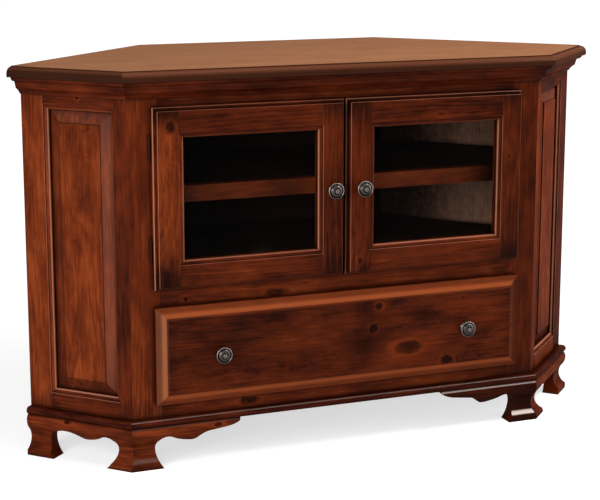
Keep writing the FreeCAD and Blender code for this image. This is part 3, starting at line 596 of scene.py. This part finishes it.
@dataclass(frozen=True)
class WornMetal:
    """Cast or stamped metal: a base colour, a darker patina that stays in hollows, and a mottled polish.

    A turned piece has rings of colour instead, out to its radius, where the polishing wheel reached or
    missed, and is painted darker low down: painted shade on its underside. Grit and hollow are the sizes of
    the mottling and of the hollows, in millimetres.
    """

    name: str
    colour: str
    patina: str
    roughness: tuple[float, float]
    grit: float = 3.0
    hollow: float = 2.5
    rings: tuple[tuple[float, str], ...] = ()
    radius: float = 16.0
    lower_shade_share: float = 0.75
    grit_share: float = 0.2
    hollow_share: float = 0.8

    def make(self, axis: tuple[float, float] = (0.0, 0.0)) -> bpy.types.Material:
        """Make the material.

        Args:
            axis: How far out and how high a turned piece's axis is, in millimetres.

        Returns:
            The material.
        """
        material, tree, shader = new_material(self.name, {"Metallic": 1.0})
        place = add(tree, "TexCoord").outputs["Object"]
        grit = add(tree, "TexNoise", {"Vector": place, "Scale": 1000 / self.grit, "Detail": 3.0}).outputs[0]
        colour = linear(self.colour)
        if self.rings:
            middle = (axis[0] * MM, 0.0, axis[1] * MM)
            away = add(tree, "VectorMath", {0: place}, operation="ABSOLUTE")
            away = add(tree, "VectorMath", {0: away, 1: middle}, operation="SUBTRACT")
            scale = 1000 / self.radius
            away = add(tree, "VectorMath", {0: away, 1: (scale, 0.0, scale)}, operation="MULTIPLY")
            share = add(tree, "VectorMath", {0: away}, operation="LENGTH").outputs["Value"]
            colour = add(tree, "ValToRGB", {0: share}, stops=self.rings).outputs[0]
            # Painted shade on the lower side of a turned piece.
            height = add(tree, "SeparateXYZ", {0: away}).outputs[2]
            below = add(tree, "MapRange", {"Value": height, "From Min": -0.1, "From Max": -0.95})
            colour = lay(tree, colour, self.patina, below, self.lower_shade_share)
        hollow = add(tree, "AmbientOcclusion", {"Distance": self.hollow * MM}, samples=8).outputs["AO"]
        occluded = add(tree, "MapRange", {"Value": hollow, "From Min": 0.95, "From Max": 0.45})
        colour = lay(tree, colour, self.patina, grit, self.grit_share)
        colour = lay(tree, colour, self.patina, occluded, self.hollow_share)
        smooth, rough = self.roughness
        gloss = add(tree, "MapRange", {"Value": grit, "To Min": smooth, "To Max": rough})
        bump = add(tree, "Bump", {"Strength": 0.15, "Distance": 0.05 * MM, "Height": grit})
        tree.links.new(colour, shader.inputs["Base Color"])
        tree.links.new(gloss.outputs[0], shader.inputs["Roughness"])
        tree.links.new(bump.outputs[0], shader.inputs["Normal"])
        return material


@dataclass(frozen=True)
class FloatGlass:
    """Clear float glass, polished by the melt that it set on.

    It hides nothing seen squarely and more at a slant, and shows as a weak gloss, with a breath of dust that
    keeps it from being perfectly even. Haze is the size of the dust's patches, in millimetres.
    """

    name: str = "float_glass"
    colour: str = "#12110F"
    haze: float = 60.0
    cover: tuple[float, float] = (0.03, 0.45)

    def make(self) -> bpy.types.Material:
        """Make the material.

        Returns:
            The material.
        """
        material, tree, shader = new_material(self.name, {"Base Color": linear(self.colour), "IOR": 1.52,
                                                          "Specular IOR Level": 0.2})
        place = add(tree, "TexCoord").outputs["Object"]
        dust = add(tree, "TexNoise", {"Vector": place, "Scale": 1000 / self.haze, "Detail": 2.0})
        rough = add(tree, "MapRange", {"Value": dust, "To Min": 0.0, "To Max": 0.06})
        slant = add(tree, "LayerWeight", {"Blend": 0.5}).outputs["Facing"]
        cover = add(tree, "MapRange", {"Value": slant, "From Min": 0.3, "To Min": self.cover[0],
                                       "To Max": self.cover[1]})
        tree.links.new(rough.outputs[0], shader.inputs["Roughness"])
        tree.links.new(cover.outputs[0], shader.inputs["Alpha"])
        return material


# Solid cherry under a red-brown stain: deep and streaky, nearly black in knots, and in corners with painted
# shade.
CHERRY = FinishedWood("stained_cherry", dark="#2C0D06", middle="#5E240F", light="#8C401C")
# The same cherry in a paler, even tan with little figure, for the wide top: painted sheen of the light on
# it.
LIT_TOP_CHERRY = FinishedWood("stained_cherry_top", dark="#805335", middle="#8D5C3C", light="#9A6845",
                          smudge_share=0.06, glaze="#33150B")
# Sliced veneer under a dark stain, darkened further as painted shade for the inside.
VENEER = FinishedWood("cherry_veneer", dark="#170A05", middle="#26130A", light="#3A2114", smudge_share=0.25)
# Sliced veneer, barely stained, on the panels that face the wall: a dull pale brown.
BACK_VENEER = FinishedWood("sliced_cherry_back", dark="#6E4838", middle="#A27760", light="#BA927A",
                           smudge_share=0.2)
# Maple, sanded and clear lacquered, for the drawer box: pale yellow and plain.
MAPLE = FinishedWood("clear_maple", dark="#A5794B", middle="#C49C6C", light="#DABB8E", glaze="#6E4A28",
                     corner_glaze_and_shade_share=0.35, smudge_share=0.1)
# Cast pewter, blackened and then polished on a wheel: bright rings with black grooves between them.
PEWTER = WornMetal("antiqued_pewter", "#554F4A", "#080605", (0.2, 0.34), 1.2, 2.0, rings=(
    (0.0, "#665C56"), (0.25, "#665C56"), (0.3, "#070605"), (0.36, "#070605"), (0.43, "#4A4540"),
    (0.68, "#3E3935"), (0.75, "#050404"), (0.84, "#050404"), (0.9, "#837A73"), (1.0, "#625A54")))
# Stamped steel with an oiled bronze finish: dull, dark brown.
BRONZE = WornMetal("oiled_bronze", "#2E170D", "#120906", (0.5, 0.65))
# Rolled steel, zinc plated: light grey with a soft, mottled shine.
ZINC = WornMetal("zinc_plated_steel", "#A9ACB0", "#5A5D60", (0.28, 0.4))


class Workshop:
    """The finishes that every sub-assembly shares, and the way that a board or fitting gets one."""

    PAIR_START = 0.6      # where the right piece of a mirrored pair starts, as a share of where it ends

    def __init__(self) -> None:
        """Mix the finishes."""
        self.figure = CherryFigure()
        self.boards = 0
        self.bronze = BRONZE.make()
        self.zinc = ZINC.make()
        self.glass = FloatGlass().make()

    def wood(self, node: str, finish: FinishedWood, grain: Grain, heart: tuple[float, float] = (15.0, 60.0),
             **rest: Any) -> None:
        """Dress one wooden node.

        Args:
            node: Its name.
            finish: Its finish.
            grain: The way its fibres run.
            heart: Where the tree's heart lies behind its centre, in millimetres.
            rest: Other facts of its board.
        """
        low, high = box_mm(node)
        if rest.get("both_sides"):
            low.x = self.PAIR_START * high.x
        centre = (low + high) / 2
        half = sum(abs(share) * length for share, length in zip(grain.turn()[0], high - centre))
        self.boards += 1
        board = Board(grain, tuple(centre), half, heart, self.boards, **rest)
        finish.dress(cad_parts[node], board, self.figure)
        LOG.info("wood on %s", node)

    def fitting(self, node: str, material: bpy.types.Material) -> None:
        """Dress one node of metal or glass.

        Args:
            node: Its name.
            material: Its material.
        """
        put_on(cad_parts[node], material)
        LOG.info("%s on %s", material.name, node)


@dataclass(frozen=True)
class ScrewHead:
    """A screw's head with a cross recess, in millimetres.

    Arm and slot are half the cross's length and width, as shares of the radius. The profile goes from the
    foot to the shoulder, in shares of the radius and the height. Turn is the angle from one head's cross to
    the next one's, in radians.
    """

    diameter: float
    height: float
    depth: float
    arm: float = 0.58
    slot: float = 0.17
    profile: tuple[tuple[float, float], ...] = ((1.0, 0.0), (1.0, 0.25), (0.84, 0.8))
    turn: float = 2.4

    def outline(self) -> list[tuple[float, float]]:
        """Give the recess's outline.

        Returns:
            Angles all round, and how far out the recess reaches at each, as a share of the radius.
        """
        corner = math.atan2(self.slot, self.arm)
        half = math.radians(45)
        steps = ((0.0, self.arm), (corner, math.hypot(self.arm, self.slot)),
                 ((corner + half) / 2, self.slot / math.sin((corner + half) / 2)),
                 (half, self.slot / math.sin(half)))
        quarter = list(steps) + [(2 * half - angle, reach) for angle, reach in steps[2:0:-1]]
        return [(angle + 2 * half * turn, reach) for turn in range(4) for angle, reach in quarter]

    def drive(self, name: str, places: list[tuple[Triple, Triple]], body: str,
              material: bpy.types.Material) -> None:
        """Drive a set of these screws into one body.

        Args:
            name: The set's name.
            places: Each head's foot in millimetres, and the way that it looks.
            body: The body that they ride on.
            material: Their material.
        """
        mesh = bmesh.new()
        radius = self.diameter / 2
        for number, (foot, look) in enumerate(places):
            turn = Vector(look).to_track_quat("Z", "Y").to_matrix().to_4x4()
            turn = Matrix.Translation(Vector(foot) * MM) @ turn @ Matrix.Rotation(self.turn * number, 4, "Z")
            rings = [[(radius * share, angle, up * self.height) for angle, reach in self.outline()]
                     for share, up in self.profile]
            rings += [[(radius * reach, angle, up) for angle, reach in self.outline()]
                      for up in (self.height, self.height - self.depth)]
            loops = []
            for ring in rings:
                spots = [(out * math.cos(angle), out * math.sin(angle), up) for out, angle, up in ring]
                loops.append([mesh.verts.new(turn @ (Vector(spot) * MM)) for spot in spots])
            for lower, upper in zip(loops, loops[1:]):
                for i, corner in enumerate(lower):
                    j = (i + 1) % len(lower)
                    mesh.faces.new((corner, lower[j], upper[j], upper[i]))
            mesh.faces.new(loops[-1])
            mesh.faces.new(reversed(loops[0]))
        data = bpy.data.meshes.new(name)
        mesh.to_mesh(data)
        mesh.free()
        piece = bpy.data.objects.new(name, data)
        bpy.context.scene.collection.objects.link(piece)
        put_on(piece, material)
        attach(piece, body)
        LOG.info("%d screws in %s", len(places), name)


BACK_SCREW = ScrewHead(8.0, 1.6, 1.2)
HINGE_SCREW = ScrewHead(5.0, 0.5, 0.4)
KNOB_SCREW = ScrewHead(9.0, 2.2, 1.6)


@dataclass(frozen=True)
class Carcase:
    """The top, the mouldings and the face frame, in millimetres."""

    top_strip: float = 130.0
    top_lip: float = 1.0

    def dress(self, shop: Workshop) -> None:
        """Dress the outside of the carcase.

        Args:
            shop: The shared finishes.
        """
        top = box_mm("top_board")[1].z
        face = box_mm("front_middle_rail")[0].y
        # The top's paler colour is painted sheen; its left nosing is darkened with stain, and its front and
        # right nosing get painted highlights.
        shop.wood("top_board", LIT_TOP_CHERRY, Grain.LYING, (0.0, 70.0), strip=self.top_strip,
                  dark_under=top - self.top_lip,
                  edges=((Edge.STAINED, Side.LEFT.front(), 0.6), (Edge.LIT_NOSING, (0.0, -0.66, 0.75), 0.17),
                         (Edge.LIT_NOSING, (0.47, -0.47, 0.75), 0.2)),
                  knots=(Knot((-346, 17, top), 30, 2, 1.0, 0.5, 0.0),
                         Knot((181, 163, top), 6, 4, 1.0, 0.4, 0.0)))
        # Painted glint along the top of each front bead.
        for stem, tone, highlight in (("crown", -0.25, 0.09), ("base_moulding", -0.38, 0.12)):
            shop.wood(stem + "_front", CHERRY, Grain.LEVEL, (30.0, 40.0), tone=tone,
                      edges=((Edge.GLINT, (0.0, -0.6, 0.8), highlight),))
            shop.wood(stem + "_sides", CHERRY, Grain.RIGHT_LEVEL, (30.0, 40.0), both_sides=True, tone=tone)
        for side, tone in ((Side.LEFT, 0.0), (Side.RIGHT, -0.18)):
            shop.wood("front_stile_" + side.label(), CHERRY, Grain.UPRIGHT, (40.0, 30.0), tone=tone)
        shop.wood("front_top_rail", CHERRY, Grain.LEVEL, (40.0, 30.0), tone=-0.1)
        shop.wood("front_middle_rail", CHERRY, Grain.LEVEL, (12.0, 60.0), knots=(
            Knot((-137, face, 320), 24, 8, 1.8, 1.0, 0.3), Knot((-318, face, 323), 5, 5, 1.2, 1.0, 0.2)))
        shop.wood("front_bottom_rail", CHERRY, Grain.LEVEL, (25.0, 45.0), tone=-0.03, knots=(
            Knot((-194, face, 110), 22, 8, 1.6, 1.0, 0.4),))


@dataclass(frozen=True)
class SideFrame:
    """One side's frame and raised panel, with the foot below it."""

    side: Side
    panel_slope: float = 0.262      # how far the panel's bevels lean

    def spot(self, along: float, up: float) -> Triple:
        """Give a place on this side's wall.

        Args:
            along: Distance back from the front corner, in millimetres.
            up: Height.

        Returns:
            The place in the cabinet.
        """
        low, high = box_mm("front_stile_" + self.side.label())
        run = along * DIAGONAL
        return self.side.value * (max(-low.x, high.x) + run), low.y + run, up

    def tilt(self, ahead: float, up: float) -> Triple:
        """Give the way that a slope on this side's wall looks.

        Args:
            ahead: How far it leans to the front corner.
            up: How far it leans up.

        Returns:
            The way, in the cabinet's axes.
        """
        out = math.sqrt(1.0 - ahead * ahead - up * up)
        return self.side.value * DIAGONAL * (out - ahead), -DIAGONAL * (out + ahead), up

    def dress(self, shop: Workshop) -> None:
        """Dress this side.

        Args:
            shop: The shared finishes.
        """
        label, front = self.side.label(), self.side.front()
        left = self.side is Side.LEFT
        level = Grain.LEFT_LEVEL if left else Grain.RIGHT_LEVEL
        upright = Grain.LEFT_UPRIGHT if left else Grain.RIGHT_UPRIGHT
        rail_knots = (Knot(self.spot(105, 704), 4, 4, 1.5),) if left else ()
        panel_knots = (Knot(self.spot(123, 628), 34, 22, 0.8, 0.45, 0.0, True),
                       Knot(self.spot(96, 522), 36, 18, 0.8, 0.4, 0.0, True)) if left else ()
        foot_knots = (Knot(self.spot(137, 78), 9, 4, 1.5),) if left else ()
        stiles = (-0.26, 0.06) if left else (0.05, -0.3)
        members = (("front_stile", upright, stiles[0], ()), ("rear_stile", upright, stiles[1], ()),
                   ("top_rail", level, -0.24, rail_knots), ("bottom_rail", level, -0.04, ()))
        for stem, grain, tone, knots in members:
            # Rubbed wear with painted highlight on the frame's roundovers, and a painted highlight on the
            # sticking that faces the front corner (up, on the bottom rail).
            look = self.tilt(0.0, 0.75) if stem == "bottom_rail" else self.tilt(0.75, 0.0)
            shop.wood(f"side_{stem}_{label}", CHERRY, grain, (35.0, 40.0), tone=tone, knots=knots,
                      edges=((Edge.RUBBED_AND_LIT, front, 0.35), (Edge.CORNER, look, 0.4)))
        slope = self.panel_slope
        ahead, above = self.tilt(slope, 0.0), self.tilt(0.0, slope)
        # Painted shadow on the field's step and painted shade on the bevels that face back and down; the
        # left panel also gets painted sheen on its forward and upper bevels and a painted highlight on its
        # sticking, the right one painted shade on its forward bevel and painted sheen on its upper one.
        bevels = ((Edge.STEP, front, 0.9), (Edge.SHADED_BEVEL, self.tilt(-slope, 0.0), 0.45),
                  (Edge.SHADED_BEVEL, self.tilt(0.0, -slope), 0.35))
        if left:
            bevels += ((Edge.SHEEN_PANEL_BEVEL, ahead, 0.1), (Edge.SHEEN_PANEL_BEVEL, above, 0.06),
                       (Edge.CORNER, self.tilt(1.0, 0.0), 0.8))
        else:
            bevels += ((Edge.SHADED_BEVEL, ahead, 0.3), (Edge.SHEEN_PANEL_BEVEL, above, 0.08))
        shop.wood("side_panel_" + label, CHERRY, upright, (10.0, 80.0), edges=bevels, tone=0.06,
                  knots=panel_knots)
        shop.wood("foot_apron_" + label, CHERRY, level, knots=foot_knots)
        bracket_knots = (Knot((-260, -235, 74), 9, 4, 1.5),) if left else ()
        # Painted glint on the foot's flare: strong on the right foot, faint on the left.
        tone, highlight = (-0.05, 0.05) if left else (-0.45, 0.82)
        shop.wood("foot_bracket_" + label, CHERRY, Grain.LEVEL, tone=tone, knots=bracket_knots,
                  edges=((Edge.GLINT, (0.0, -0.7, 0.7), highlight),))


@dataclass(frozen=True)
class Inside:
    """The back panels with their screws, the posts, the boards and the shelf, in millimetres.

    Insets are the screws' distances from a panel's ends, from its outer edge and from its edge on the post.
    The painted shade on a wing's inner face is darkest so far out from the middle panel. Each patch of
    painted shadow on the shelf's edge has its place, its half length and how dark it is.
    """

    rows: int = 6
    end_inset: float = 20.0
    outer_inset: float = 30.0
    post_inset: float = 12.0
    shade_start: float = 9.8
    shadow_patches: tuple[Triple, ...] = ((366.0, 55.0, 1.0), (-215.0, 130.0, 0.25), (-95.0, 42.0, 0.55))

    def dress(self, shop: Workshop) -> None:
        """Dress the inside and the back.

        Args:
            shop: The shared finishes.
        """
        low, high = box_mm("back_panel_middle")
        out = high.x + self.shade_start
        inner_face = high.x + high.y - (high.y - low.y) / DIAGONAL
        # Painted shade on each wing's inner face, darkest beside the middle panel.
        for side, grain in ((Side.LEFT, Grain.RIGHT_UPRIGHT), (Side.RIGHT, Grain.LEFT_UPRIGHT)):
            rear_shade = Knot((side.value * out, inner_face - out, 520), along=900, across=150, push=0.0,
                         dark=0.92, warm=0.0, soft=True, deep=3.0)
            shop.wood("back_panel_" + side.label(), BACK_VENEER, grain, knots=(rear_shade,))
        # Painted shade on the inner face of the middle back panel.
        shop.wood("back_panel_middle", BACK_VENEER, Grain.UPRIGHT,
                  edges=((Edge.STAINED, (0.0, -1.0, 0.0), 0.95),))
        shop.wood("rear_posts", VENEER, Grain.UPRIGHT, both_sides=True)
        for node in ("bottom_board", "divider_board", "shelf_board"):
            shop.wood(node, VENEER, Grain.LYING)
        # Painted shadows on the shelf's edge.
        shop.wood("shelf_edge", CHERRY, Grain.LEVEL, tone=0.14, knots=tuple(
            Knot((x, 0, 513), along, 90, 0.2, dark, 0.0, True) for x, along, dark in self.shadow_patches))
        shop.wood("shelf_cleats", VENEER, Grain.RIGHT_LEVEL, both_sides=True)
        shop.wood("drawer_partitions", VENEER, Grain.DEPTHWISE, both_sides=True)
        for member in ("outer", "middle", "inner"):
            shop.fitting(f"slide_{member}_members", shop.zinc)
        for node in ("hinge_frame_leaves", "hinge_pins"):
            shop.fitting(node, shop.bronze)
        self.screw_back(shop)

    def screw_back(self, shop: Workshop) -> None:
        """Screw the back panels to the posts and the side frames.

        Args:
            shop: The shared finishes.
        """
        low, high = box_mm("back_panel_middle")
        outer_corner = box_mm("side_rear_stile_right")[1].x
        length = (outer_corner - high.x) / DIAGONAL
        rise = high.z - low.z - 2 * self.end_inset
        places = []
        for row in range(self.rows):
            up = low.z + self.end_inset + rise * row / (self.rows - 1)
            for side in Side:
                places.append(((side.value * (high.x - self.post_inset), high.y, up), (0, 1, 0)))
                for along in (self.outer_inset, length - self.post_inset):
                    out = outer_corner - along * DIAGONAL
                    places.append(((side.value * out, high.x + high.y - out, up), (side.value, 1, 0)))
        BACK_SCREW.drive("back_panel_screws", places, "cabinet", shop.zinc)


@dataclass(frozen=True)
class Door:
    """One glazed door, with its knob, hinges and their screws, in millimetres.

    Leaf is how thick a hinge leaf is. Its screws sit so far in from the door's edge and behind the frame's
    face, above and below the middle of the hinge.
    """

    side: Side
    leaf: float = 1.2
    edge_inset: float = 19.7
    face_inset: float = 9.42
    hinge_half: float = 45.0
    screw_rise: float = 12.0

    def dress(self, shop: Workshop) -> None:
        """Dress this door and drive its screws.

        Args:
            shop: The shared finishes.
        """
        label = self.side.label()
        face = box_mm(f"door_{label}_hinge_stile")[0].y
        knots = {
            "left_hinge_stile": (Knot((-349, face, 654), 13, 9, 1.6, 1.0, 0.25),
                                 Knot((-356, face, 684), 22, 30, 0.6, 0.7, 0.0, True),
                                 Knot((-356, face, 614), 15, 5, 3.0, 0.25, 0.3),
                                 Knot((-358, face, 372), 34, 22, 1.2, 0.85, 0.0, True)),
            "right_top_rail": (Knot((196, face, 653), 9, 4, 1.6, 0.4, 0.2),),
            "right_hinge_stile": (Knot((349, face, 561), 6, 4, 1.5, 0.4, 0.15),),
            "right_meeting_stile": (Knot((28, face, 374), 6, 4, 1.5, 1.0, 0.15),),
        }
        tones = {"left_hinge_stile": 0.1, "left_bottom_rail": -0.28, "left_meeting_stile": -0.2,
                 "left_top_rail": -0.2, "right_top_rail": -0.32, "right_bottom_rail": -0.15,
                 "right_meeting_stile": -0.15, "right_hinge_stile": -0.2}
        for stem, grain in (("hinge_stile", Grain.UPRIGHT), ("meeting_stile", Grain.UPRIGHT),
                            ("top_rail", Grain.LEVEL), ("bottom_rail", Grain.LEVEL)):
            key = f"{label}_{stem}"
            shop.wood("door_" + key, CHERRY, grain, (25.0, 45.0), edges=self.edges(stem), tone=tones[key],
                      knots=knots.get(key, ()), end_glaze=0.2 if grain is Grain.LEVEL else 0.75)
        shop.wood(f"door_{label}_glass_stops", CHERRY, Grain.UPRIGHT)
        shop.fitting(f"door_{label}_glass", shop.glass)
        shop.fitting(f"door_{label}_knob", PEWTER.make(self.knob()))
        shop.fitting(f"door_{label}_hinge_leaves", shop.bronze)
        self.screw(shop)

    def knob(self) -> tuple[float, float]:
        """Give how far out and how high the knob's axis is."""
        middle = sum(box_mm(f"door_{self.side.label()}_knob"), Vector()) / 2
        return abs(middle.x), middle.z

    def edges(self, stem: str) -> EdgeLightAndWear:
        """Say which painted highlights and rubbed wear the edges of one member get.

        Args:
            stem: The member, without its side.

        Returns:
            The edges, each with the way that it looks and its share.
        """
        # Rubbed wear with painted highlight on the front's roundovers, and painted highlights on the rounded
        # edges that face up and sideways, stronger on the right door.
        upper = 0.15 if self.side is Side.LEFT else 0.3
        highlight = ((Edge.RUBBED_AND_LIT, (0.0, -1.0, 0.0), 0.22), (Edge.CORNER, (0.0, -0.66, 0.75), upper))
        if "stile" in stem:
            highlight += ((Edge.CORNER, (-0.75, -0.66, 0.0), 0.42),)
        if stem == "hinge_stile":
            highlight += ((Edge.CORNER, (0.75, -0.66, 0.0), 0.3),)
        return highlight

    def screw(self, shop: Workshop) -> None:
        """Screw the hinges to the door and the frame, and the knob to the door.

        Args:
            shop: The shared finishes.
        """
        label, out = self.side.label(), self.side.value
        door = label + "_door"
        low, high = box_mm(f"door_{label}_hinge_stile")
        opening = box_mm("front_middle_rail")
        hinges = box_mm(f"door_{label}_hinge_leaves")
        on_door = (out * (max(-low.x, high.x) - self.edge_inset), high.y + self.leaf)
        on_frame = (out * (opening[1].x - self.leaf), opening[0].y + self.face_inset)
        door_leaf, frame_leaf = [], []
        for middle in (hinges[0].z + self.hinge_half, hinges[1].z - self.hinge_half):
            for up in (middle - self.screw_rise, middle + self.screw_rise):
                door_leaf.append(((*on_door, up), (0, 1, 0)))
                frame_leaf.append(((*on_frame, up), (-out, 0, 0)))
        HINGE_SCREW.drive(f"hinge_screws_{door}", door_leaf, door, shop.bronze)
        HINGE_SCREW.drive(f"hinge_screws_{label}_frame", frame_leaf, "cabinet", shop.bronze)
        x, up = self.knob()
        place = ((out * x, high.y, up), (0, 1, 0))
        KNOB_SCREW.drive(f"knob_screw_{door}", [place], door, shop.zinc)


@dataclass(frozen=True)
class Drawer:
    """The drawer: its raised front, its box and its knobs, in millimetres.

    Bevel is how wide the front's bevel is, and look how far it looks ahead and to its side.
    """

    bevel: float = 21.0
    look: tuple[float, float] = (-0.927, 0.375)
    box_wall: float = 13.0

    def dress(self, shop: Workshop) -> None:
        """Dress the drawer and drive its knobs' screws.

        Args:
            shop: The shared finishes.
        """
        low, high = box_mm("drawer_front")
        face, middle, half = low.y, (low.z + high.z) / 2, (high.z - low.z) / 2
        ahead, lean = self.look
        # Rubbed wear with painted highlight on the roundovers, painted light on each bevel by the way that
        # it faces, and painted sheen on the left bevel.
        edges = ((Edge.RUBBED_AND_LIT, (0.0, -1.0, 0.0), 0.5), (Edge.BEVEL, (0.0, ahead, lean), 0.62),
                 (Edge.BEVEL, (0.0, ahead, -lean), 0.68), (Edge.BEVEL, (lean, ahead, 0.0), 0.15),
                 (Edge.BEVEL, (-lean, ahead, 0.0), 0.5), (Edge.SHEEN_BEVEL, (-lean, ahead, 0.0), 0.34))
        shop.wood("drawer_front", CHERRY, Grain.LEVEL, (-30.0, 75.0), edges=edges, tone=-0.22,
                  border=(high.x, middle, half, self.bevel),
                  knots=(Knot((57, face, 234), 9, 9, 1.8, 1.0, 0.25),
                         Knot((69, face, 278), 9, 7, 1.8, 0.6, 0.6),
                         Knot((42, face, 205), 44, 32, 1.0, 0.8, 0.0, True),
                         Knot((48, face, 272), 30, 22, 1.0, 0.7, 0.0, True),
                         Knot((131, face, 188), 30, 13, 2.4, 0.0, 0.45),
                         Knot((138, face, 190), 26, 10, 1.0, 0.7, 0.0, True),
                         Knot((219, face, 153), 13, 10, 1.6, 1.0, 0.25),
                         Knot((164, face, 257), 40, 12, 1.0, 0.55, 0.0, True),
                         Knot((251, face, 280), 4, 3, 1.2, 0.6, 0.2),
                         Knot((-235, face, 235), 150, 60, 0.6, 0.4, 0.0, True)))
        shop.wood("drawer_sides", MAPLE, Grain.DEPTHWISE, both_sides=True)
        shop.wood("drawer_box_ends", MAPLE, Grain.LEVEL)
        shop.wood("drawer_bottom", VENEER, Grain.LYING)
        low, high = box_mm("drawer_knobs")
        x, up = high.x - PEWTER.radius, (low.z + high.z) / 2
        shop.fitting("drawer_knobs", PEWTER.make((x, up)))
        inner = box_mm("drawer_box_ends")[0].y + self.box_wall
        places = [((side.value * x, inner, up), (0, 1, 0)) for side in Side]
        KNOB_SCREW.drive("knob_screws_drawer", places, "drawer", shop.zinc)


@dataclass(frozen=True)
class Softbox:
    """One studio lamp: where it stands, where it points, its sides in metres and its radiance."""

    name: str
    stand: Triple
    aim: Triple
    sides: tuple[float, float]
    radiance: float

    def switch_on(self) -> None:
        """Make the lamp."""
        lamp = bpy.data.lights.new(self.name, "AREA")
        lamp.shape = "RECTANGLE"
        lamp.size, lamp.size_y = self.sides
        lamp.energy = math.pi * self.radiance * self.sides[0] * self.sides[1]
        piece = bpy.data.objects.new(self.name, lamp)
        piece.location = self.stand
        piece.rotation_euler = (Vector(self.aim) - Vector(self.stand)).to_track_quat("-Z", "Y").to_euler()
        bpy.context.scene.collection.objects.link(piece)


@dataclass(frozen=True)
class Studio:
    """A white floor and surround, soft lamps and the camera."""

    camera: Triple = (-1.0986, -2.8889, 1.0530)
    yaw: float = 0.3616
    pitch: float = 0.1854
    lens: float = 91.19
    shift: float = -0.10
    ambient: float = 0.17
    floor_reach: float = 14.0
    floor_drop: float = 0.2        # millimetres under the feet, so that the faces don't meet
    floor_grey: float = 0.5        # what the paint gives back of the lamps' light; the glow makes it white
    floor_glow: tuple[float, float] = (0.66, 1.0)
    floor_fade: tuple[float, float] = (0.9, 2.6)
    lamps: tuple[Softbox, ...] = (
        Softbox("overhead_softbox", (-0.2, -0.55, 2.4), (-0.2, -0.35, 0.7), (1.6, 0.5), 8.0),
        Softbox("right_strip", (1.6, -0.95, 2.2), (0.4, -0.2, 0.1), (1.0, 0.12), 100.0),
        Softbox("left_softbox", (-2.2, -1.3, 0.9), (-0.2, -0.1, 0.4), (0.7, 1.6), 11.5),
        Softbox("left_front_softbox", (-1.5, -2.1, 1.1), (0.1, -0.1, 0.5), (0.5, 0.8), 11.5),
        Softbox("right_softbox", (2.3, -0.7, 1.0), (0.3, -0.1, 0.4), (0.7, 1.4), 8.0),
    )

    def build(self) -> None:
        """Make the floor, the surround, the lamps and the camera."""
        self.lay_floor()
        self.light_world()
        for lamp in self.lamps:
            lamp.switch_on()
        self.set_camera()
        bpy.context.scene.view_settings.view_transform = "Standard"
        LOG.info("studio with %d lamps", len(self.lamps))

    def seen(self, tree: bpy.types.NodeTree) -> bpy.types.NodeSocket:
        """Tell rays that show the background, straight or in metal and glass, from those that give light.

        Args:
            tree: The tree that asks.

        Returns:
            One for such a ray, else zero.
        """
        path = add(tree, "LightPath").outputs
        seen = path["Is Camera Ray"]
        for name in ("Is Glossy Ray", "Is Transmission Ray"):
            seen = add(tree, "Math", {0: seen, 1: path[name]}, operation="MAXIMUM").outputs[0]
        return seen

    def lay_floor(self) -> None:
        """Lay a matt white floor that keeps the cabinet's shadow and fades to plain white away from it."""
        mesh = bpy.data.meshes.new("studio_floor")
        reach = self.floor_reach
        corners = [(-reach, -reach, 0), (reach, -reach, 0), (reach, reach, 0), (-reach, reach, 0)]
        mesh.from_pydata(corners, [], [(0, 1, 2, 3)])
        floor = bpy.data.objects.new("studio_floor", mesh)
        floor.location.z = -self.floor_drop * MM
        bpy.context.scene.collection.objects.link(floor)
        material = bpy.data.materials.new("matt_white_floor")
        material.use_nodes = True
        tree = material.node_tree
        tree.nodes.clear()
        paint = add(tree, "BsdfDiffuse", {"Color": (*[self.floor_grey] * 3, 1.0)})
        away = add(tree, "VectorMath", {0: add(tree, "TexCoord").outputs["Object"]}, operation="LENGTH")
        glow = add(tree, "MapRange", {"Value": away.outputs["Value"], "From Min": self.floor_fade[0],
                                      "From Max": self.floor_fade[1], "To Min": self.floor_glow[0],
                                      "To Max": self.floor_glow[1]})
        strength = add(tree, "Math", {0: self.seen(tree), 1: glow}, operation="MULTIPLY")
        both = add(tree, "AddShader", {0: paint, 1: add(tree, "Emission", {"Strength": strength})})
        add(tree, "OutputMaterial", {"Surface": both})
        put_on(floor, material)

    def light_world(self) -> None:
        """Surround the cabinet with white that lights it softly."""
        world = bpy.data.worlds.new("studio_surround")
        world.use_nodes = True
        tree = world.node_tree
        strength = add(tree, "MapRange", {"Value": self.seen(tree), "To Min": self.ambient, "To Max": 1.0})
        back = tree.nodes["Background"]
        back.inputs["Color"].default_value = (1.0, 1.0, 1.0, 1.0)
        tree.links.new(strength.outputs[0], back.inputs["Strength"])
        bpy.context.scene.world = world

    def set_camera(self) -> None:
        """Stand the camera where the photograph was taken from."""
        data = bpy.data.cameras.new("camera")
        data.lens = self.lens
        data.shift_y = self.shift
        piece = bpy.data.objects.new("camera", data)
        piece.location = self.camera
        look = Vector((math.sin(self.yaw) * math.cos(self.pitch), math.cos(self.yaw) * math.cos(self.pitch),
                       -math.sin(self.pitch)))
        piece.rotation_euler = look.to_track_quat("-Z", "Y").to_euler()
        bpy.context.scene.collection.objects.link(piece)
        bpy.context.scene.camera = piece


def main() -> None:
    """Dress each sub-assembly and build the studio."""
    logging.basicConfig(level=logging.INFO, format="%(message)s")
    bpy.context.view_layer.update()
    shop = Workshop()
    Carcase().dress(shop)
    for side in Side:
        SideFrame(side).dress(shop)
        Door(side).dress(shop)
    Inside().dress(shop)
    Drawer().dress(shop)
    Studio().build()


if __name__ == "__main__":
    main()
